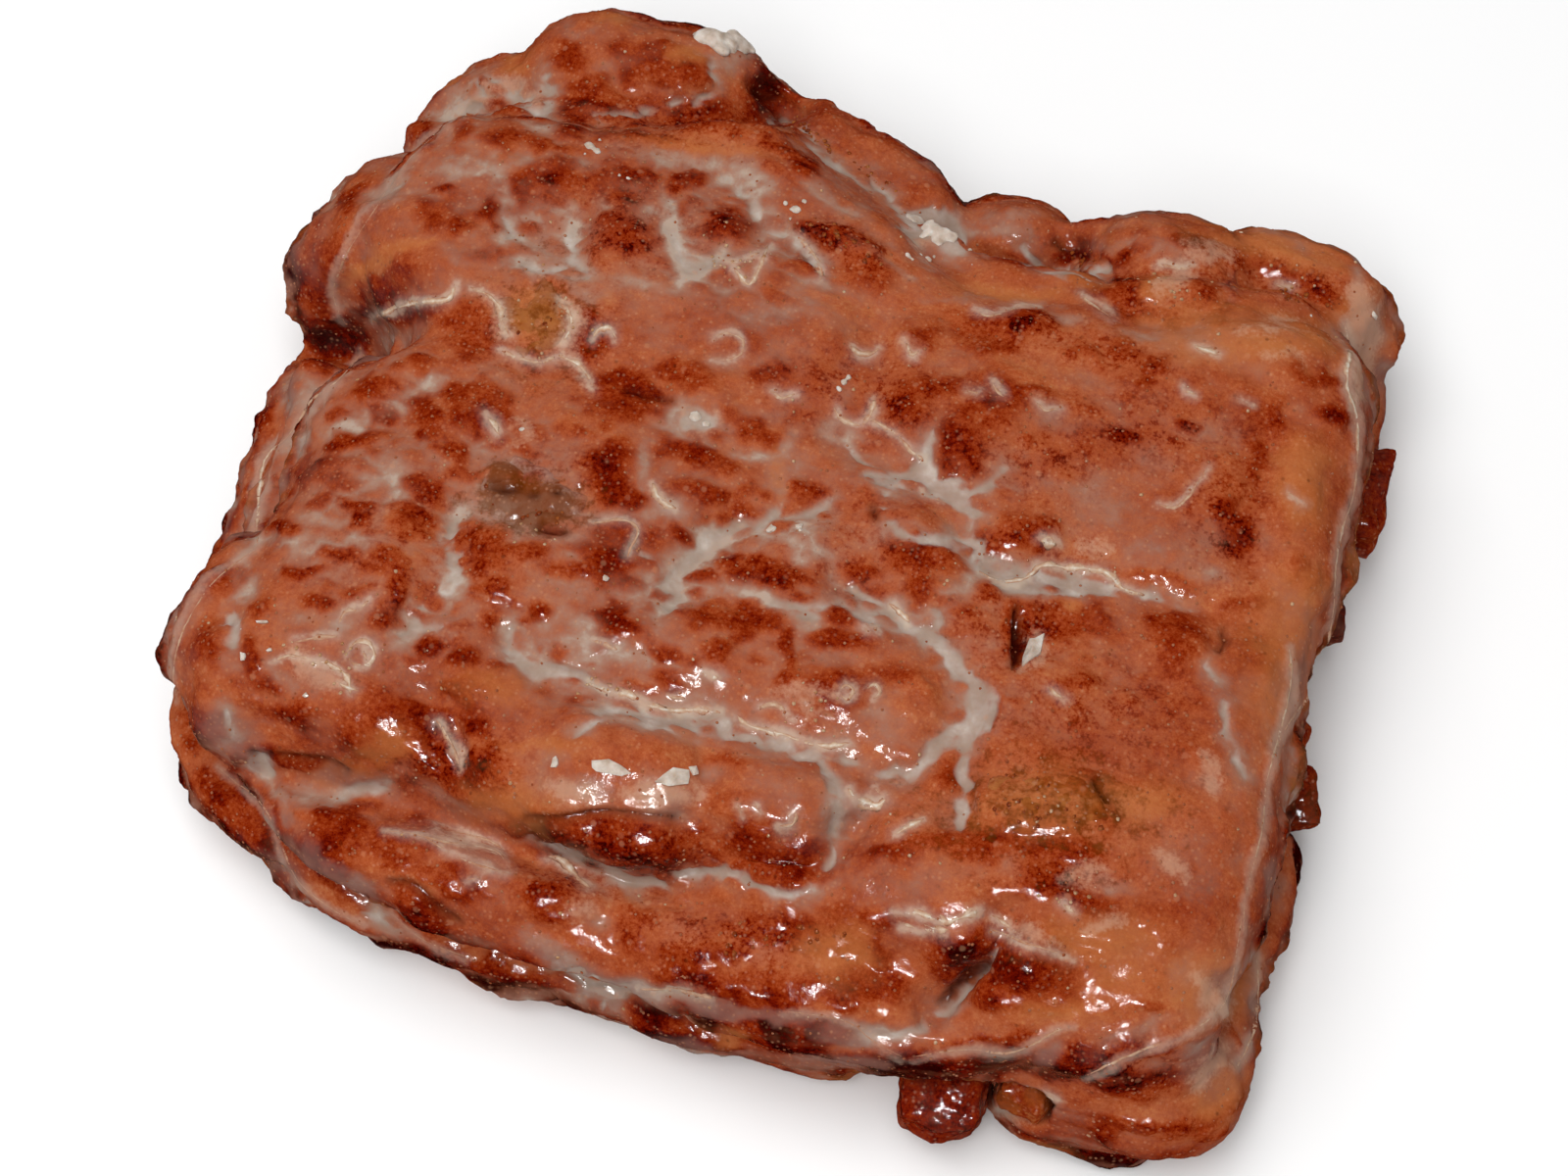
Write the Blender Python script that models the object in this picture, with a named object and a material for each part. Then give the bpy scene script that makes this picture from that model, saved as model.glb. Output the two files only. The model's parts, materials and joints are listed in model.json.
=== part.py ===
"""A glazed apple fritter, lying flat: a slab of fried dough pressed from rolls and chunks, with diced apple.

Run with blender --background --python part.py. Metres, +Z up. The long side lies along X, the front is at -Y, and
the origin is under the middle of the fritter, on the surface that it lies on. Sizes below are in millimetres.
Places are measured from a point close to the middle, which is brought over the origin at the end.
"""

import math

import bmesh
import bpy
from mathutils import Matrix, Vector, noise

MM = 0.001

# The lower slab is the wider one, and the upper slab lies on it, a little further back.
LOWER_SLAB = {"bottom": -1.2, "top": 17.5, "edge": 8.0, "crown": 0.0}
UPPER_SLAB = {"bottom": 10.0, "top": 31.0, "edge": 10.5, "crown": 2.4}

# Corners and turns of the two outlines in plan, joined by one smooth closed curve.
LOWER_OUTLINE = [
    (61, -36), (57, -46), (45, -48), (29, -46), (16, -50), (0, -51), (-20, -51), (-39, -49.5), (-49, -45),
    (-57, -40), (-61, -31), (-63, -14), (-65, 5), (-65, 22), (-61, 38), (-56, 51), (-43, 58), (-26, 61),
    (-10, 54), (3, 49), (20, 52), (42, 57), (51, 53), (53, 38), (55, 12), (58, -14),
]
UPPER_OUTLINE = [
    (59, -30), (54, -37), (38, -42), (20, -42), (0, -42), (-22, -41), (-40, -41), (-49, -37), (-54, -29),
    (-54, -14), (-56, 1), (-51, 11), (-58, 20), (-58, 32), (-53, 43), (-38, 47), (-20, 52), (-6, 47), (6, 42),
    (28, 44), (46, 47), (54, 38), (57, 18), (56, -4), (59, -20),
]

# Rolls and chunks of dough that stand out of the slabs: middle, half length, half width, turn, bottom and top.
ROLLS = {
    "front_roll": ((-2, -41.5), 44, 10, 0, 8.0, 23.0),
    "front_roll_right": ((42, -34), 17, 12, 8, 10.0, 27.5),
    "front_left_corner": ((-45, -32), 11, 8, 24, 8.0, 29.0),
    "left_front_lobe": ((-55.5, -26), 9, 4.5, 82, 5.0, 25.0),
    "top_front_roll_left": ((-7, -32.5), 12, 8.5, 2, 17.0, 32.5),
    "top_front_roll_right": ((9, -30.5), 10, 7.5, 14, 17.0, 32.5),
    "right_front_foot": ((48, -38), 15.5, 10, 10, -1.0, 15.0),
    "left_skirt": ((-57, -4), 6, 18, 3, -1.0, 14.0),
    "left_front_skirt": ((-46, -38), 9, 6, -38, -1.0, 12.0),
    "left_back_lobe": ((-58.5, 26), 12, 9, 80, 3.0, 23.0),
    "back_left_lobe": ((-54, 46), 10, 7.5, 60, 2.0, 20.0),
    "back_roll": ((-36.5, 54), 15.5, 9, 8, 4.0, 26.0),
    "back_edge_roll": ((-12, 51.5), 18, 6, -22, 3.0, 23.5),
    "back_middle_chunk": ((10, 49), 7, 6, 10, 4.0, 22.0),
    "back_knob": ((28, 48), 10, 7.5, -6, 8.0, 27.0),
    "back_right_chunk": ((42, 52.5), 11.5, 7, -6, 2.0, 24.0),
    "right_back_side": ((51, 40), 5, 11, 4, 1.0, 17.0),
    "right_front_side": ((56.5, -18), 5.5, 12, 4, 1.0, 17.0),
}

# Creases that cross the top, each with its depth, its width and the places in plan that it passes.
CREASES = {
    "back_roll_crease": (3.6, 2.6, [(-60, 45), (-50, 42), (-38, 42), (-28, 47), (-20, 51)]),
    "back_edge_crease": (2.0, 2.0, [(-20, 51), (-14, 47), (-10, 45), (-2, 42), (3, 39)]),
    "back_right_crease": (2.2, 2.2, [(3, 39), (9, 34), (19, 36), (29, 37), (36, 41), (45, 43), (53, 45)]),
    "left_crevice": (9.0, 3.2, [(-67, 14), (-61, 14), (-55, 13.5), (-51, 11)]),
    "left_crease": (1.4, 3.0, [(-51, 11), (-45, 9), (-36, 10), (-27, 10.5), (-18, 10)]),
    "left_channel": (1.2, 2.6, [(-55, -10), (-49, -6), (-44, -2), (-39, 4)]),
    "left_front_channel": (1.3, 2.0, [(-33, -11), (-32, -19), (-33, -26)]),
    "right_channel": (1.9, 2.4, [(2, 9.5), (11, 9), (18, 3), (23, 1), (32, 4), (42, 3), (50, 5)]),
    "middle_channel": (1.8, 2.4, [(7, -6), (16, -9), (23, -13), (24, -18), (27, -28)]),
    "middle_loop": (1.5, 2.0, [(-9, -15), (-8.5, -9), (-4, -2.5), (2, 1)]),
    "front_channel": (1.8, 2.2, [(-23, -23), (-19, -26), (-3, -25), (10, -26), (21, -24.5), (24, -18)]),
    "back_channel": (1.2, 2.0, [(-22, 39), (-14, 33), (-7, 30), (2, 23), (4, 13)]),
    "back_left_channel": (1.1, 2.0, [(-41, 26), (-35, 25), (-32, 21)]),
    "top_roll_crease": (3.2, 1.9, [(-45, -41), (-29, -41), (-10, -42), (1, -41), (7, -37), (15, -36), (18, -30)]),
    "top_roll_parting": (1.8, 1.6, [(1, -41), (2, -34), (1, -29)]),
    "front_dimple": (2.4, 2.4, [(-29, -32), (-26, -34), (-24, -38)]),
    "front_fold": (4.0, 1.8, [(30, -45), (32, -41), (35, -36)]),
    "apple_hollow": (2.0, 2.6, [(27, -6), (29, -4)]),
    "right_edge_channel": (1.2, 2.0, [(44, 28), (46, 12), (51, 4)]),
}

# Creases in the sides, where the upper slab and its rolls lie on the lower slab, with places in space.
SIDE_CREASES = {
    "front_seam": (3.2, 2.0, [(-51, -42, 15), (-40, -49, 14), (-20, -51, 13), (0, -51, 12), (16, -49, 12), (29, -46, 13)]),
    "foot_seam": (3.2, 2.0, [(29, -46, 13), (36, -44, 15), (44, -43, 16), (53, -40, 16), (59, -33, 16), (61, -24, 15)]),
    "right_seam": (2.4, 2.2, [(61, -24, 15), (60, -8, 14), (57, 12, 13), (56, 36, 14), (54, 46, 14)]),
    "left_seam": (2.6, 2.2, [(-51, -42, 14), (-58, -36, 15), (-61, -22, 13), (-61, -4, 14), (-62, 12, 13)]),
    "back_seam": (2.0, 2.2, [(50, 58, 12), (30, 57, 11), (12, 56, 11), (-8, 59, 12), (-30, 63, 13), (-50, 58, 12)]),
    "skirt_fold_left": (1.8, 1.6, [(-47, -47, 2), (-44, -48, 7), (-40, -49, 12)]),
    "skirt_fold_middle": (1.8, 1.6, [(-31, -52, 2), (-27, -52, 7), (-22, -52, 12)]),
    "skirt_fold_right": (1.5, 1.6, [(-12, -53, 2), (-8, -53, 7), (-4, -52, 12)]),
}

PIT = {"middle": (-20, 56), "radius": 3.0, "depth": 8.0}  # the dark hole at the end of the back roll

# What the chopped dough adds to the surface everywhere: cells as large as a chunk, parted by shallow grooves.
CHUNK_SIZE = 13.0
CHUNK_GROOVE = 0.8
SWELL_SIZE = 21.0
SWELL = 1.0
CRUST_SIZE = 5.5
CRUST = 0.5

# Lumps of set glaze and ragged flakes of crust, fused to the dough: middle, half length, half width, height, turn.
FLECKS = {
    "glaze_lump_left": ((-32, 59.5, 22.5), 1.9, 1.7, 2.4, 0),
    "glaze_lump_right": ((-29, 60.5, 21.5), 2.1, 1.8, 2.2, 20),
    "glaze_blob": ((2.4, 40.2, 27.0), 3.2, 2.4, 2.0, 30),
    "crag_back": ((17.6, 50.5, 21.0), 2.4, 1.4, 2.6, 20),
    "crag_right": ((53, 50, 14.5), 2.8, 1.5, 1.8, -30),
}

# Diced apple. Each cube is pressed into the dough: middle, length, width, height, turns about Z and about X.
APPLE_DICE = {
    "apple_front": ((32.5, -47.2, 7.5), 8.5, 9.0, 8.5, 6, 14),
    "apple_front_small": ((40.8, -45.4, 9.8), 5.0, 5.0, 5.0, -8, 0),
    "apple_right": ((56.8, -5.2, 10.0), 7.0, 6.5, 8.0, 24, 18),
    "apple_right_small": ((55.2, 2.0, 11.0), 4.5, 4.5, 5.0, -12, 25),
    "apple_slab_right": ((54.3, 33.4, 9.5), 7.5, 12.0, 7.5, 2, -6),
    "apple_side": ((55.0, 17.7, 8.0), 5.5, 4.0, 4.5, 20, 10),
    "apple_top_left": ((-26.3, -7.6, 29.4), 11.0, 8.0, 6.0, -14, 4),
    "apple_top_front": ((34.9, -23.3, 29.7), 12.5, 6.5, 5.5, 22, -5),
    "apple_slice_back": ((-34.3, 13.6, 29.2), 8.0, 8.0, 5.0, -38, 3),
}
SOCKET_GAP = 0.35  # each die stays this far from its socket, because meshes that touch would overlap

VOXEL = 1.3
DOUGH_TRIANGLES = 9600
CURVE_STEPS = 6  # points that a smooth outline has for each of its corners
SIDE_RINGS = 9
TOP_RINGS = 7


def clear_scene():
    for obj in list(bpy.data.objects):
        bpy.data.objects.remove(obj)


def material(name, colour, roughness):
    made = bpy.data.materials.new(name)
    made.use_nodes = True
    shader = made.node_tree.nodes["Principled BSDF"]
    shader.inputs["Base Color"].default_value = (*colour, 1.0)
    shader.inputs["Roughness"].default_value = roughness
    shader.inputs["Metallic"].default_value = 0.0
    return made


def smooth_outline(corners):
    """Points of the closed Catmull-Rom curve that passes through the corners."""
    points = []
    for i in range(len(corners)):
        a, b, c, d = (Vector(corners[(i + k) % len(corners)]) for k in (-1, 0, 1, 2))
        for step in range(CURVE_STEPS):
            t = step / CURVE_STEPS
            bend = (2 * a - 5 * b + 4 * c - d) * t**2 + (3 * b - a - 3 * c + d) * t**3
            points.append(0.5 * (2 * b + (c - a) * t + bend))
    return points


def rounded_outline(half_length, half_width, squareness=2.5, count=48):
    """A superellipse about the origin."""
    points = []
    for i in range(count):
        angle = 2 * math.pi * i / count
        x, y = math.cos(angle), math.sin(angle)
        points.append(
            Vector(
                (
                    half_length * math.copysign(abs(x) ** (2 / squareness), x),
                    half_width * math.copysign(abs(y) ** (2 / squareness), y),
                )
            )
        )
    return points


def slab_rings(outline, bottom, top, edge, crown):
    """Rings of points from the underside's middle to the top's, for sides that bulge as half an ellipse."""
    reach = min(p.length for p in outline)
    edge = min(edge, 0.8 * reach)
    middle, half = (bottom + top) / 2, (top - bottom) / 2
    rings = []
    for i in range(1, TOP_RINGS):
        share = i / TOP_RINGS
        rings.append([(*(p * (1 - edge / reach) * share), bottom) for p in outline])
    for i in range(SIDE_RINGS + 1):
        angle = math.pi * (i / SIDE_RINGS - 0.5)
        inset = edge * (1 - math.cos(angle))
        rings.append([(*(p * (1 - inset / p.length)), middle + half * math.sin(angle)) for p in outline])
    shoulder = [p * (1 - edge / p.length) for p in outline]
    for i in range(TOP_RINGS - 1, 0, -1):
        share = i / TOP_RINGS
        rings.append([(*(p * share), top + crown * (1 - share**2)) for p in shoulder])
    return rings


def add_slab(target, outline, bottom, top, edge, crown=0.0, place=None):
    """Adds one closed slab to the bmesh, in millimetres."""
    place = place or Matrix.Identity(4)
    rings = slab_rings(outline, bottom, top, edge, crown)
    layers = [[target.verts.new(place @ Vector(point)) for point in ring] for ring in rings]
    count = len(outline)
    for below, above in zip(layers, layers[1:]):
        for i in range(count):
            j = (i + 1) % count
            target.faces.new((below[i], below[j], above[j], above[i]))
    underside = target.verts.new(place @ Vector((0, 0, bottom)))
    summit = target.verts.new(place @ Vector((0, 0, top + crown)))
    for i in range(count):
        j = (i + 1) % count
        target.faces.new((layers[0][j], layers[0][i], underside))
        target.faces.new((layers[-1][i], layers[-1][j], summit))


def add_roll(target, middle, half_length, half_width, turn, bottom, top):
    """Adds a rounded roll or chunk of dough."""
    place = Matrix.Translation((*middle, 0)) @ Matrix.Rotation(math.radians(turn), 4, "Z")
    edge = 0.75 * min(half_length, half_width)
    add_slab(target, rounded_outline(half_length, half_width), bottom, top, edge, 0.06 * (top - bottom), place)


def add_fleck(target, middle, half_length, half_width, height, turn):
    """Adds a small lump, sunk by half into what it lies on."""
    size = Matrix.Diagonal((half_length, half_width, height, 1))
    place = Matrix.Translation(middle) @ Matrix.Rotation(math.radians(turn), 4, "Z") @ size
    bmesh.ops.create_icosphere(target, subdivisions=2, radius=1, matrix=place)


def object_of(bm, name, scale=MM):
    bm.transform(Matrix.Scale(scale, 4))
    bmesh.ops.recalc_face_normals(bm, faces=bm.faces)
    mesh = bpy.data.meshes.new(name)
    bm.to_mesh(mesh)
    bm.free()
    obj = bpy.data.objects.new(name, mesh)
    bpy.context.scene.collection.objects.link(obj)
    return obj


def apply_modifier(obj, kind, **settings):
    """Adds a modifier, replaces the mesh by what it gives, and takes it off."""
    modifier = obj.modifiers.new(kind.lower(), kind)
    for key, value in settings.items():
        setattr(modifier, key, value)
    bpy.context.view_layer.update()
    graph = bpy.context.evaluated_depsgraph_get()
    mesh = bpy.data.meshes.new_from_object(obj.evaluated_get(graph))
    obj.modifiers.clear()
    obj.data = mesh


def distance_to_path(point, path):
    """Distance from a point to a line of straight stretches, in plan or in space as the line is given."""
    nearest = math.inf
    for start, end in zip(path, path[1:]):
        a, b = Vector(start), Vector(end)
        along = max(0.0, min(1.0, (point - a).dot(b - a) / (b - a).length_squared))
        nearest = min(nearest, (point - a.lerp(b, along)).length)
    return nearest


def crease_depth(point, facing_up):
    """How far the creases and the pit push the top in at this point."""
    depth = 0.0
    for deep, wide, path in CREASES.values():
        away = distance_to_path(point.xy, path)
        depth = max(depth, deep * math.exp(-((away / wide) ** 2)))
    away = (Vector((point.x, point.y)) - Vector(PIT["middle"])).length
    depth = max(depth, PIT["depth"] * math.exp(-((away / PIT["radius"]) ** 2)))
    return depth * facing_up


def seam_depth(point):
    """How far the seams in the sides go in at this point."""
    depth = 0.0
    for deep, wide, path in SIDE_CREASES.values():
        away = distance_to_path(point, path)
        depth = max(depth, deep * math.exp(-((away / wide) ** 2)))
    return depth


def chunk_relief(point):
    """Height of the chopped dough's surface: pillowed cells, long swells and small knobs of crust."""
    stretched = Vector((point.x * 0.72, point.y, point.z))
    nearest, second = noise.voronoi(stretched / CHUNK_SIZE)[0][:2]
    groove = max(0.0, 1 - (second - nearest) / 0.34)
    swell = noise.noise(point / SWELL_SIZE + Vector((3.7, 1.3, 0.4)))
    crust = noise.noise(point / CRUST_SIZE)
    return SWELL * swell + CRUST * crust - CHUNK_GROOVE * groove**1.5


def shape_surface(obj):
    """Presses the creases in and raises the chunks, along each point's own normal."""
    moved = []
    for vertex in obj.data.vertices:
        point, normal = vertex.co / MM, vertex.normal
        up = max(0.0, normal.z)
        lift = chunk_relief(point) - seam_depth(point)
        sink = crease_depth(point, min(1.0, 1.6 * up)) if point.z > 9 else 0.0
        moved.append(vertex.co + (normal * lift - Vector((0, 0, sink))) * MM)
    for vertex, place in zip(obj.data.vertices, moved):
        vertex.co = place


def flatten_underside(obj):
    """The chunks that lie on the surface are pressed flat there."""
    for vertex in obj.data.vertices:
        vertex.co.z = max(vertex.co.z, 0.0)


def make_dough():
    bm = bmesh.new()
    add_slab(bm, smooth_outline(LOWER_OUTLINE), **LOWER_SLAB)
    add_slab(bm, smooth_outline(UPPER_OUTLINE), **UPPER_SLAB)
    for roll in ROLLS.values():
        add_roll(bm, *roll)
    for fleck in FLECKS.values():
        add_fleck(bm, *fleck)
    dough = object_of(bm, "fritter_dough")
    apply_modifier(dough, "REMESH", mode="VOXEL", voxel_size=VOXEL * MM)
    shape_surface(dough)
    apply_modifier(dough, "SMOOTH", factor=0.5, iterations=2)
    apply_modifier(dough, "TRIANGULATE")
    apply_modifier(dough, "DECIMATE", ratio=DOUGH_TRIANGLES / len(dough.data.polygons))
    flatten_underside(dough)
    return dough


def apple_die(name, middle, length, width, height, turn, tilt, grown=0.0):
    """A die of fried apple: a cube whose edges have softened and whose faces have shrunk in unevenly."""
    bm = bmesh.new()
    bmesh.ops.create_cube(bm, size=2.0)
    bmesh.ops.subdivide_edges(bm, edges=bm.edges, cuts=3, use_grid_fill=True)
    half = Vector((length, width, height)) / 2
    seed = Vector(middle)
    for vertex in bm.verts:
        flat = vertex.co.copy()
        softened = flat.lerp(flat.normalized() * 1.25, 0.45)
        wrinkle = 1 + 0.2 * noise.noise(softened * 1.3 + seed)
        vertex.co = Vector(a * (b + grown) for a, b in zip(softened * wrinkle, half))
    place = Matrix.Translation(middle) @ Matrix.Rotation(math.radians(turn), 4, "Z")
    bm.transform(place @ Matrix.Rotation(math.radians(tilt), 4, "X"))
    bmesh.ops.triangulate(bm, faces=bm.faces)
    return object_of(bm, name)


def press_in(dough, die):
    """Cuts the die's socket into the dough."""
    socket = apple_die("socket", *die, grown=SOCKET_GAP)
    apply_modifier(dough, "BOOLEAN", operation="DIFFERENCE", object=socket, solver="EXACT")
    bpy.data.objects.remove(socket)


def centre_on_origin():
    """Brings the middle of the whole fritter's bounding box over the origin."""
    pieces = [obj for obj in bpy.data.objects if obj.type == "MESH"]
    corners = [vertex.co for obj in pieces for vertex in obj.data.vertices]
    shift = Vector([-(min(c[k] for c in corners) + max(c[k] for c in corners)) / 2 for k in (0, 1)] + [0.0])
    for obj in pieces:
        obj.data.transform(Matrix.Translation(shift))


def main():
    clear_scene()
    dough = make_dough()
    crust = material("fried_dough", (0.42, 0.12, 0.035), 0.32)
    apple = material("fried_apple", (0.36, 0.16, 0.04), 0.28)
    for name, die in APPLE_DICE.items():
        press_in(dough, die)
        piece = apple_die(name, *die)
        piece.data.materials.append(apple)
        piece.data.shade_smooth()
    dough.data.materials.clear()
    dough.data.materials.append(crust)
    dough.data.shade_smooth()
    centre_on_origin()


main()
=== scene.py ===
import json
import math

import bmesh
import bpy
import numpy as np
from mathutils import Matrix, Vector
from mathutils.bvhtree import BVHTree

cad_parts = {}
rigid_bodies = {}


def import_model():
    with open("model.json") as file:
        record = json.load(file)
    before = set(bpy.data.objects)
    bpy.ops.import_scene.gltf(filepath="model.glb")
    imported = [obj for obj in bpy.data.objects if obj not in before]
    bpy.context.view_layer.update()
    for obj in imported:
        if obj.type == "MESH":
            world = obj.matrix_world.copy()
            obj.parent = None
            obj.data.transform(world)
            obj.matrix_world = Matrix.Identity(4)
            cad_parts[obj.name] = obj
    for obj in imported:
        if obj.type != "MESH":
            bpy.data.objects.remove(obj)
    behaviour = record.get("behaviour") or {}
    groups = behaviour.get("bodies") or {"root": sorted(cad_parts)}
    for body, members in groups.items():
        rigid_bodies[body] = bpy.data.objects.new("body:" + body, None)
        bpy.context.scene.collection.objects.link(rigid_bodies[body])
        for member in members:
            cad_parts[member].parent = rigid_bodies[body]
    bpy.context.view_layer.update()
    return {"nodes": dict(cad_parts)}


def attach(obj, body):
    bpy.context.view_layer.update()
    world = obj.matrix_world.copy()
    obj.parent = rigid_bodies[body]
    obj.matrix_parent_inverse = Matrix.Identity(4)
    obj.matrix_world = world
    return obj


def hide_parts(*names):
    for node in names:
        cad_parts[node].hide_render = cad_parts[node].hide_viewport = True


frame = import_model()
scene = bpy.context.scene
mm = 0.001
print("stage: frame loaded")

# camera: it looks down on the fritter from the front right

camera = {
    "elevation": 62.0, "azimuth": 19.0,    # degrees above the table and round to the right
    "lens": 85.0, "sensor": 36.0,          # mm
    "distance": 0.400, "target": (0.0019, -0.0064, 0.016),    # m
}
picture = {"width": 1600, "height": 1200}

rise, turn = math.radians(camera["elevation"]), math.radians(camera["azimuth"])
back = Vector((math.sin(turn) * math.cos(rise), -math.cos(turn) * math.cos(rise), math.sin(rise)))
right = Vector((math.cos(turn), math.sin(turn), 0))
up = back.cross(right)
eye = Vector(camera["target"]) + back * camera["distance"]
focal = picture["width"] * camera["lens"] / camera["sensor"]    # pixels
pixelsPerMm = focal / camera["distance"] * mm


def toPixels(points):
    # places in metres to pixels of the photograph
    away = points - np.array(eye)
    depth = -(away @ np.array(back))
    across = picture["width"] / 2 + focal * (away @ np.array(right)) / depth
    down = picture["height"] / 2 - focal * (away @ np.array(up)) / depth
    return np.stack([across, down], axis=1)


def rayThrough(u, v):
    across, down = (u - picture["width"] / 2) / focal, (v - picture["height"] / 2) / focal
    return (right * across - up * down - back).normalized()


def newObject(name, data):
    made = bpy.data.objects.new(name, data)
    scene.collection.objects.link(made)
    return made


def makeCamera():
    lens = bpy.data.cameras.new("camera")
    lens.lens, lens.sensor_width = camera["lens"], camera["sensor"]
    lens.clip_start, lens.clip_end = 0.01, 20.0
    made = newObject("camera", lens)
    made.location = eye
    made.rotation_mode = "QUATERNION"
    made.rotation_quaternion = back.to_track_quat("Z", "Y")
    scene.camera = made


makeCamera()


def toLinear(code):
    # sRGB hex to linear
    parts = [int(code[i:i + 2], 16) / 255 for i in (1, 3, 5)]
    return tuple(p / 12.92 if p <= 0.04045 else ((p + 0.055) / 1.055) ** 2.4 for p in parts) + (1.0,)


def addNode(tree, kind, inputs=None, out=0, **settings):
    # one node with its settings; an input is a value, a hex colour, or the socket that is linked to it
    made = tree.nodes.new(kind)
    for key, value in settings.items():
        setattr(made, key, value)
    for key, value in (inputs or {}).items():
        found = made.inputs[key] if isinstance(key, int) else next(
            s for s in made.inputs if key in (s.identifier, s.name))
        if isinstance(value, bpy.types.NodeSocket):
            tree.links.new(value, found)
        else:
            found.default_value = toLinear(value) if str(value).startswith("#") else value
    return made if out is None else made.outputs[out]


def newMaterial(name):
    made = bpy.data.materials.new(name)
    made.use_nodes = True
    made.node_tree.nodes.clear()
    return made


def plainMesh(obj):
    # the mesh that the modifiers give, with the modifiers removed
    bpy.context.view_layer.update()
    result = bpy.data.meshes.new_from_object(obj.evaluated_get(bpy.context.evaluated_depsgraph_get()))
    obj.modifiers.clear()
    obj.data = result
    return obj


def fusedMesh(obj, voxel, rounds):
    # one even skin of small faces, smoothed
    remesh = obj.modifiers.new("remesh", "REMESH")
    remesh.mode, remesh.voxel_size = "VOXEL", voxel * mm
    smooth = obj.modifiers.new("smooth", "SMOOTH")
    smooth.factor, smooth.iterations = 0.5, rounds
    return plainMesh(obj)


def shadeFaces(mesh, smooth=True):
    for face in mesh.polygons:
        face.use_smooth = smooth


def mergedCopy(node, name):
    shape = bmesh.new()
    shape.from_mesh(frame["nodes"][node].data)
    bmesh.ops.remove_doubles(shape, verts=shape.verts, dist=1e-7)
    mesh = bpy.data.meshes.new(name)
    shape.to_mesh(mesh)
    shape.free()
    return newObject(name, mesh)


def readPoints(mesh):
    places, normals = np.zeros(len(mesh.vertices) * 3), np.zeros(len(mesh.vertices) * 3)
    mesh.vertices.foreach_get("co", places)
    mesh.vertices.foreach_get("normal", normals)
    return places.reshape(-1, 3), normals.reshape(-1, 3)


def writePoints(mesh, places):
    mesh.vertices.foreach_set("co", places.ravel())
    mesh.update()


def writeField(mesh, name, values):
    mesh.attributes.new(name, "FLOAT", "POINT").data.foreach_set("value", values.astype(np.float32))


def smoothStep(low, high, values):
    share = np.clip((values - low) / (high - low), 0, 1)
    return share * share * (3 - 2 * share)


def latticeValue(cells, seed):
    # a steady random number from 0 to 1 for each lattice cell, by integers that stir its place and the seed
    cells = cells.astype(np.int64)
    first, second, third, fourth, fifth = 374761393, 668265263, 2147483647, 974634777, 1274126177
    mixed = cells[..., 0] * first + cells[..., 1] * second + cells[..., 2] * third + seed * fourth
    mixed = (mixed ^ (mixed >> 13)) * fifth
    most = 0xFFFFFF
    return ((mixed ^ (mixed >> 16)) & most) / float(most)


def softNoise(points, size, seed=0, octaves=3):
    # value noise from about -1 to 1 at points in mm, with lumps as large as size
    total, weight, norm, scale = 0.0, 1.0, 0.0, 1.0 / np.array(size, float)
    for octave in range(octaves):
        spot = points * scale
        base = np.floor(spot)
        part = spot - base
        part = part * part * part * (part * (part * 6 - 15) + 10)
        value = 0.0
        for corner in np.ndindex(2, 2, 2):
            share = np.prod([part[:, k] if corner[k] else 1 - part[:, k] for k in range(3)], axis=0)
            value = value + share * latticeValue(base + np.array(corner), seed + octave * 17)
        total, norm = total + weight * (value * 2 - 1), norm + weight
        weight, scale = weight * 0.5, scale * 2.03
    return total / norm * 1.6


def cellPattern(points, size, seed=0):
    # how far a point is inside its cell, 0 on the border, and a steady number for each cell
    spot = points / np.array(size, float)
    base = np.floor(spot)
    first, second, tone = np.full(len(points), 9.0), np.full(len(points), 9.0), np.zeros(len(points))
    for step in np.ndindex(3, 3, 3):
        cell = base + np.array(step) - 1
        middle = cell + np.stack([latticeValue(cell, seed + k) for k in (1, 2, 3)], axis=1)
        gap = np.linalg.norm(spot - middle, axis=1)
        second = np.minimum(second, np.maximum(first, gap))
        tone = np.where(gap < first, latticeValue(cell, seed + 4), tone)
        first = np.minimum(first, gap)
    return second - first, tone


print("stage: camera and helpers ready")

# glaze and crust marks of the seen side, as strokes and ovals in pixels of the photograph

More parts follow.
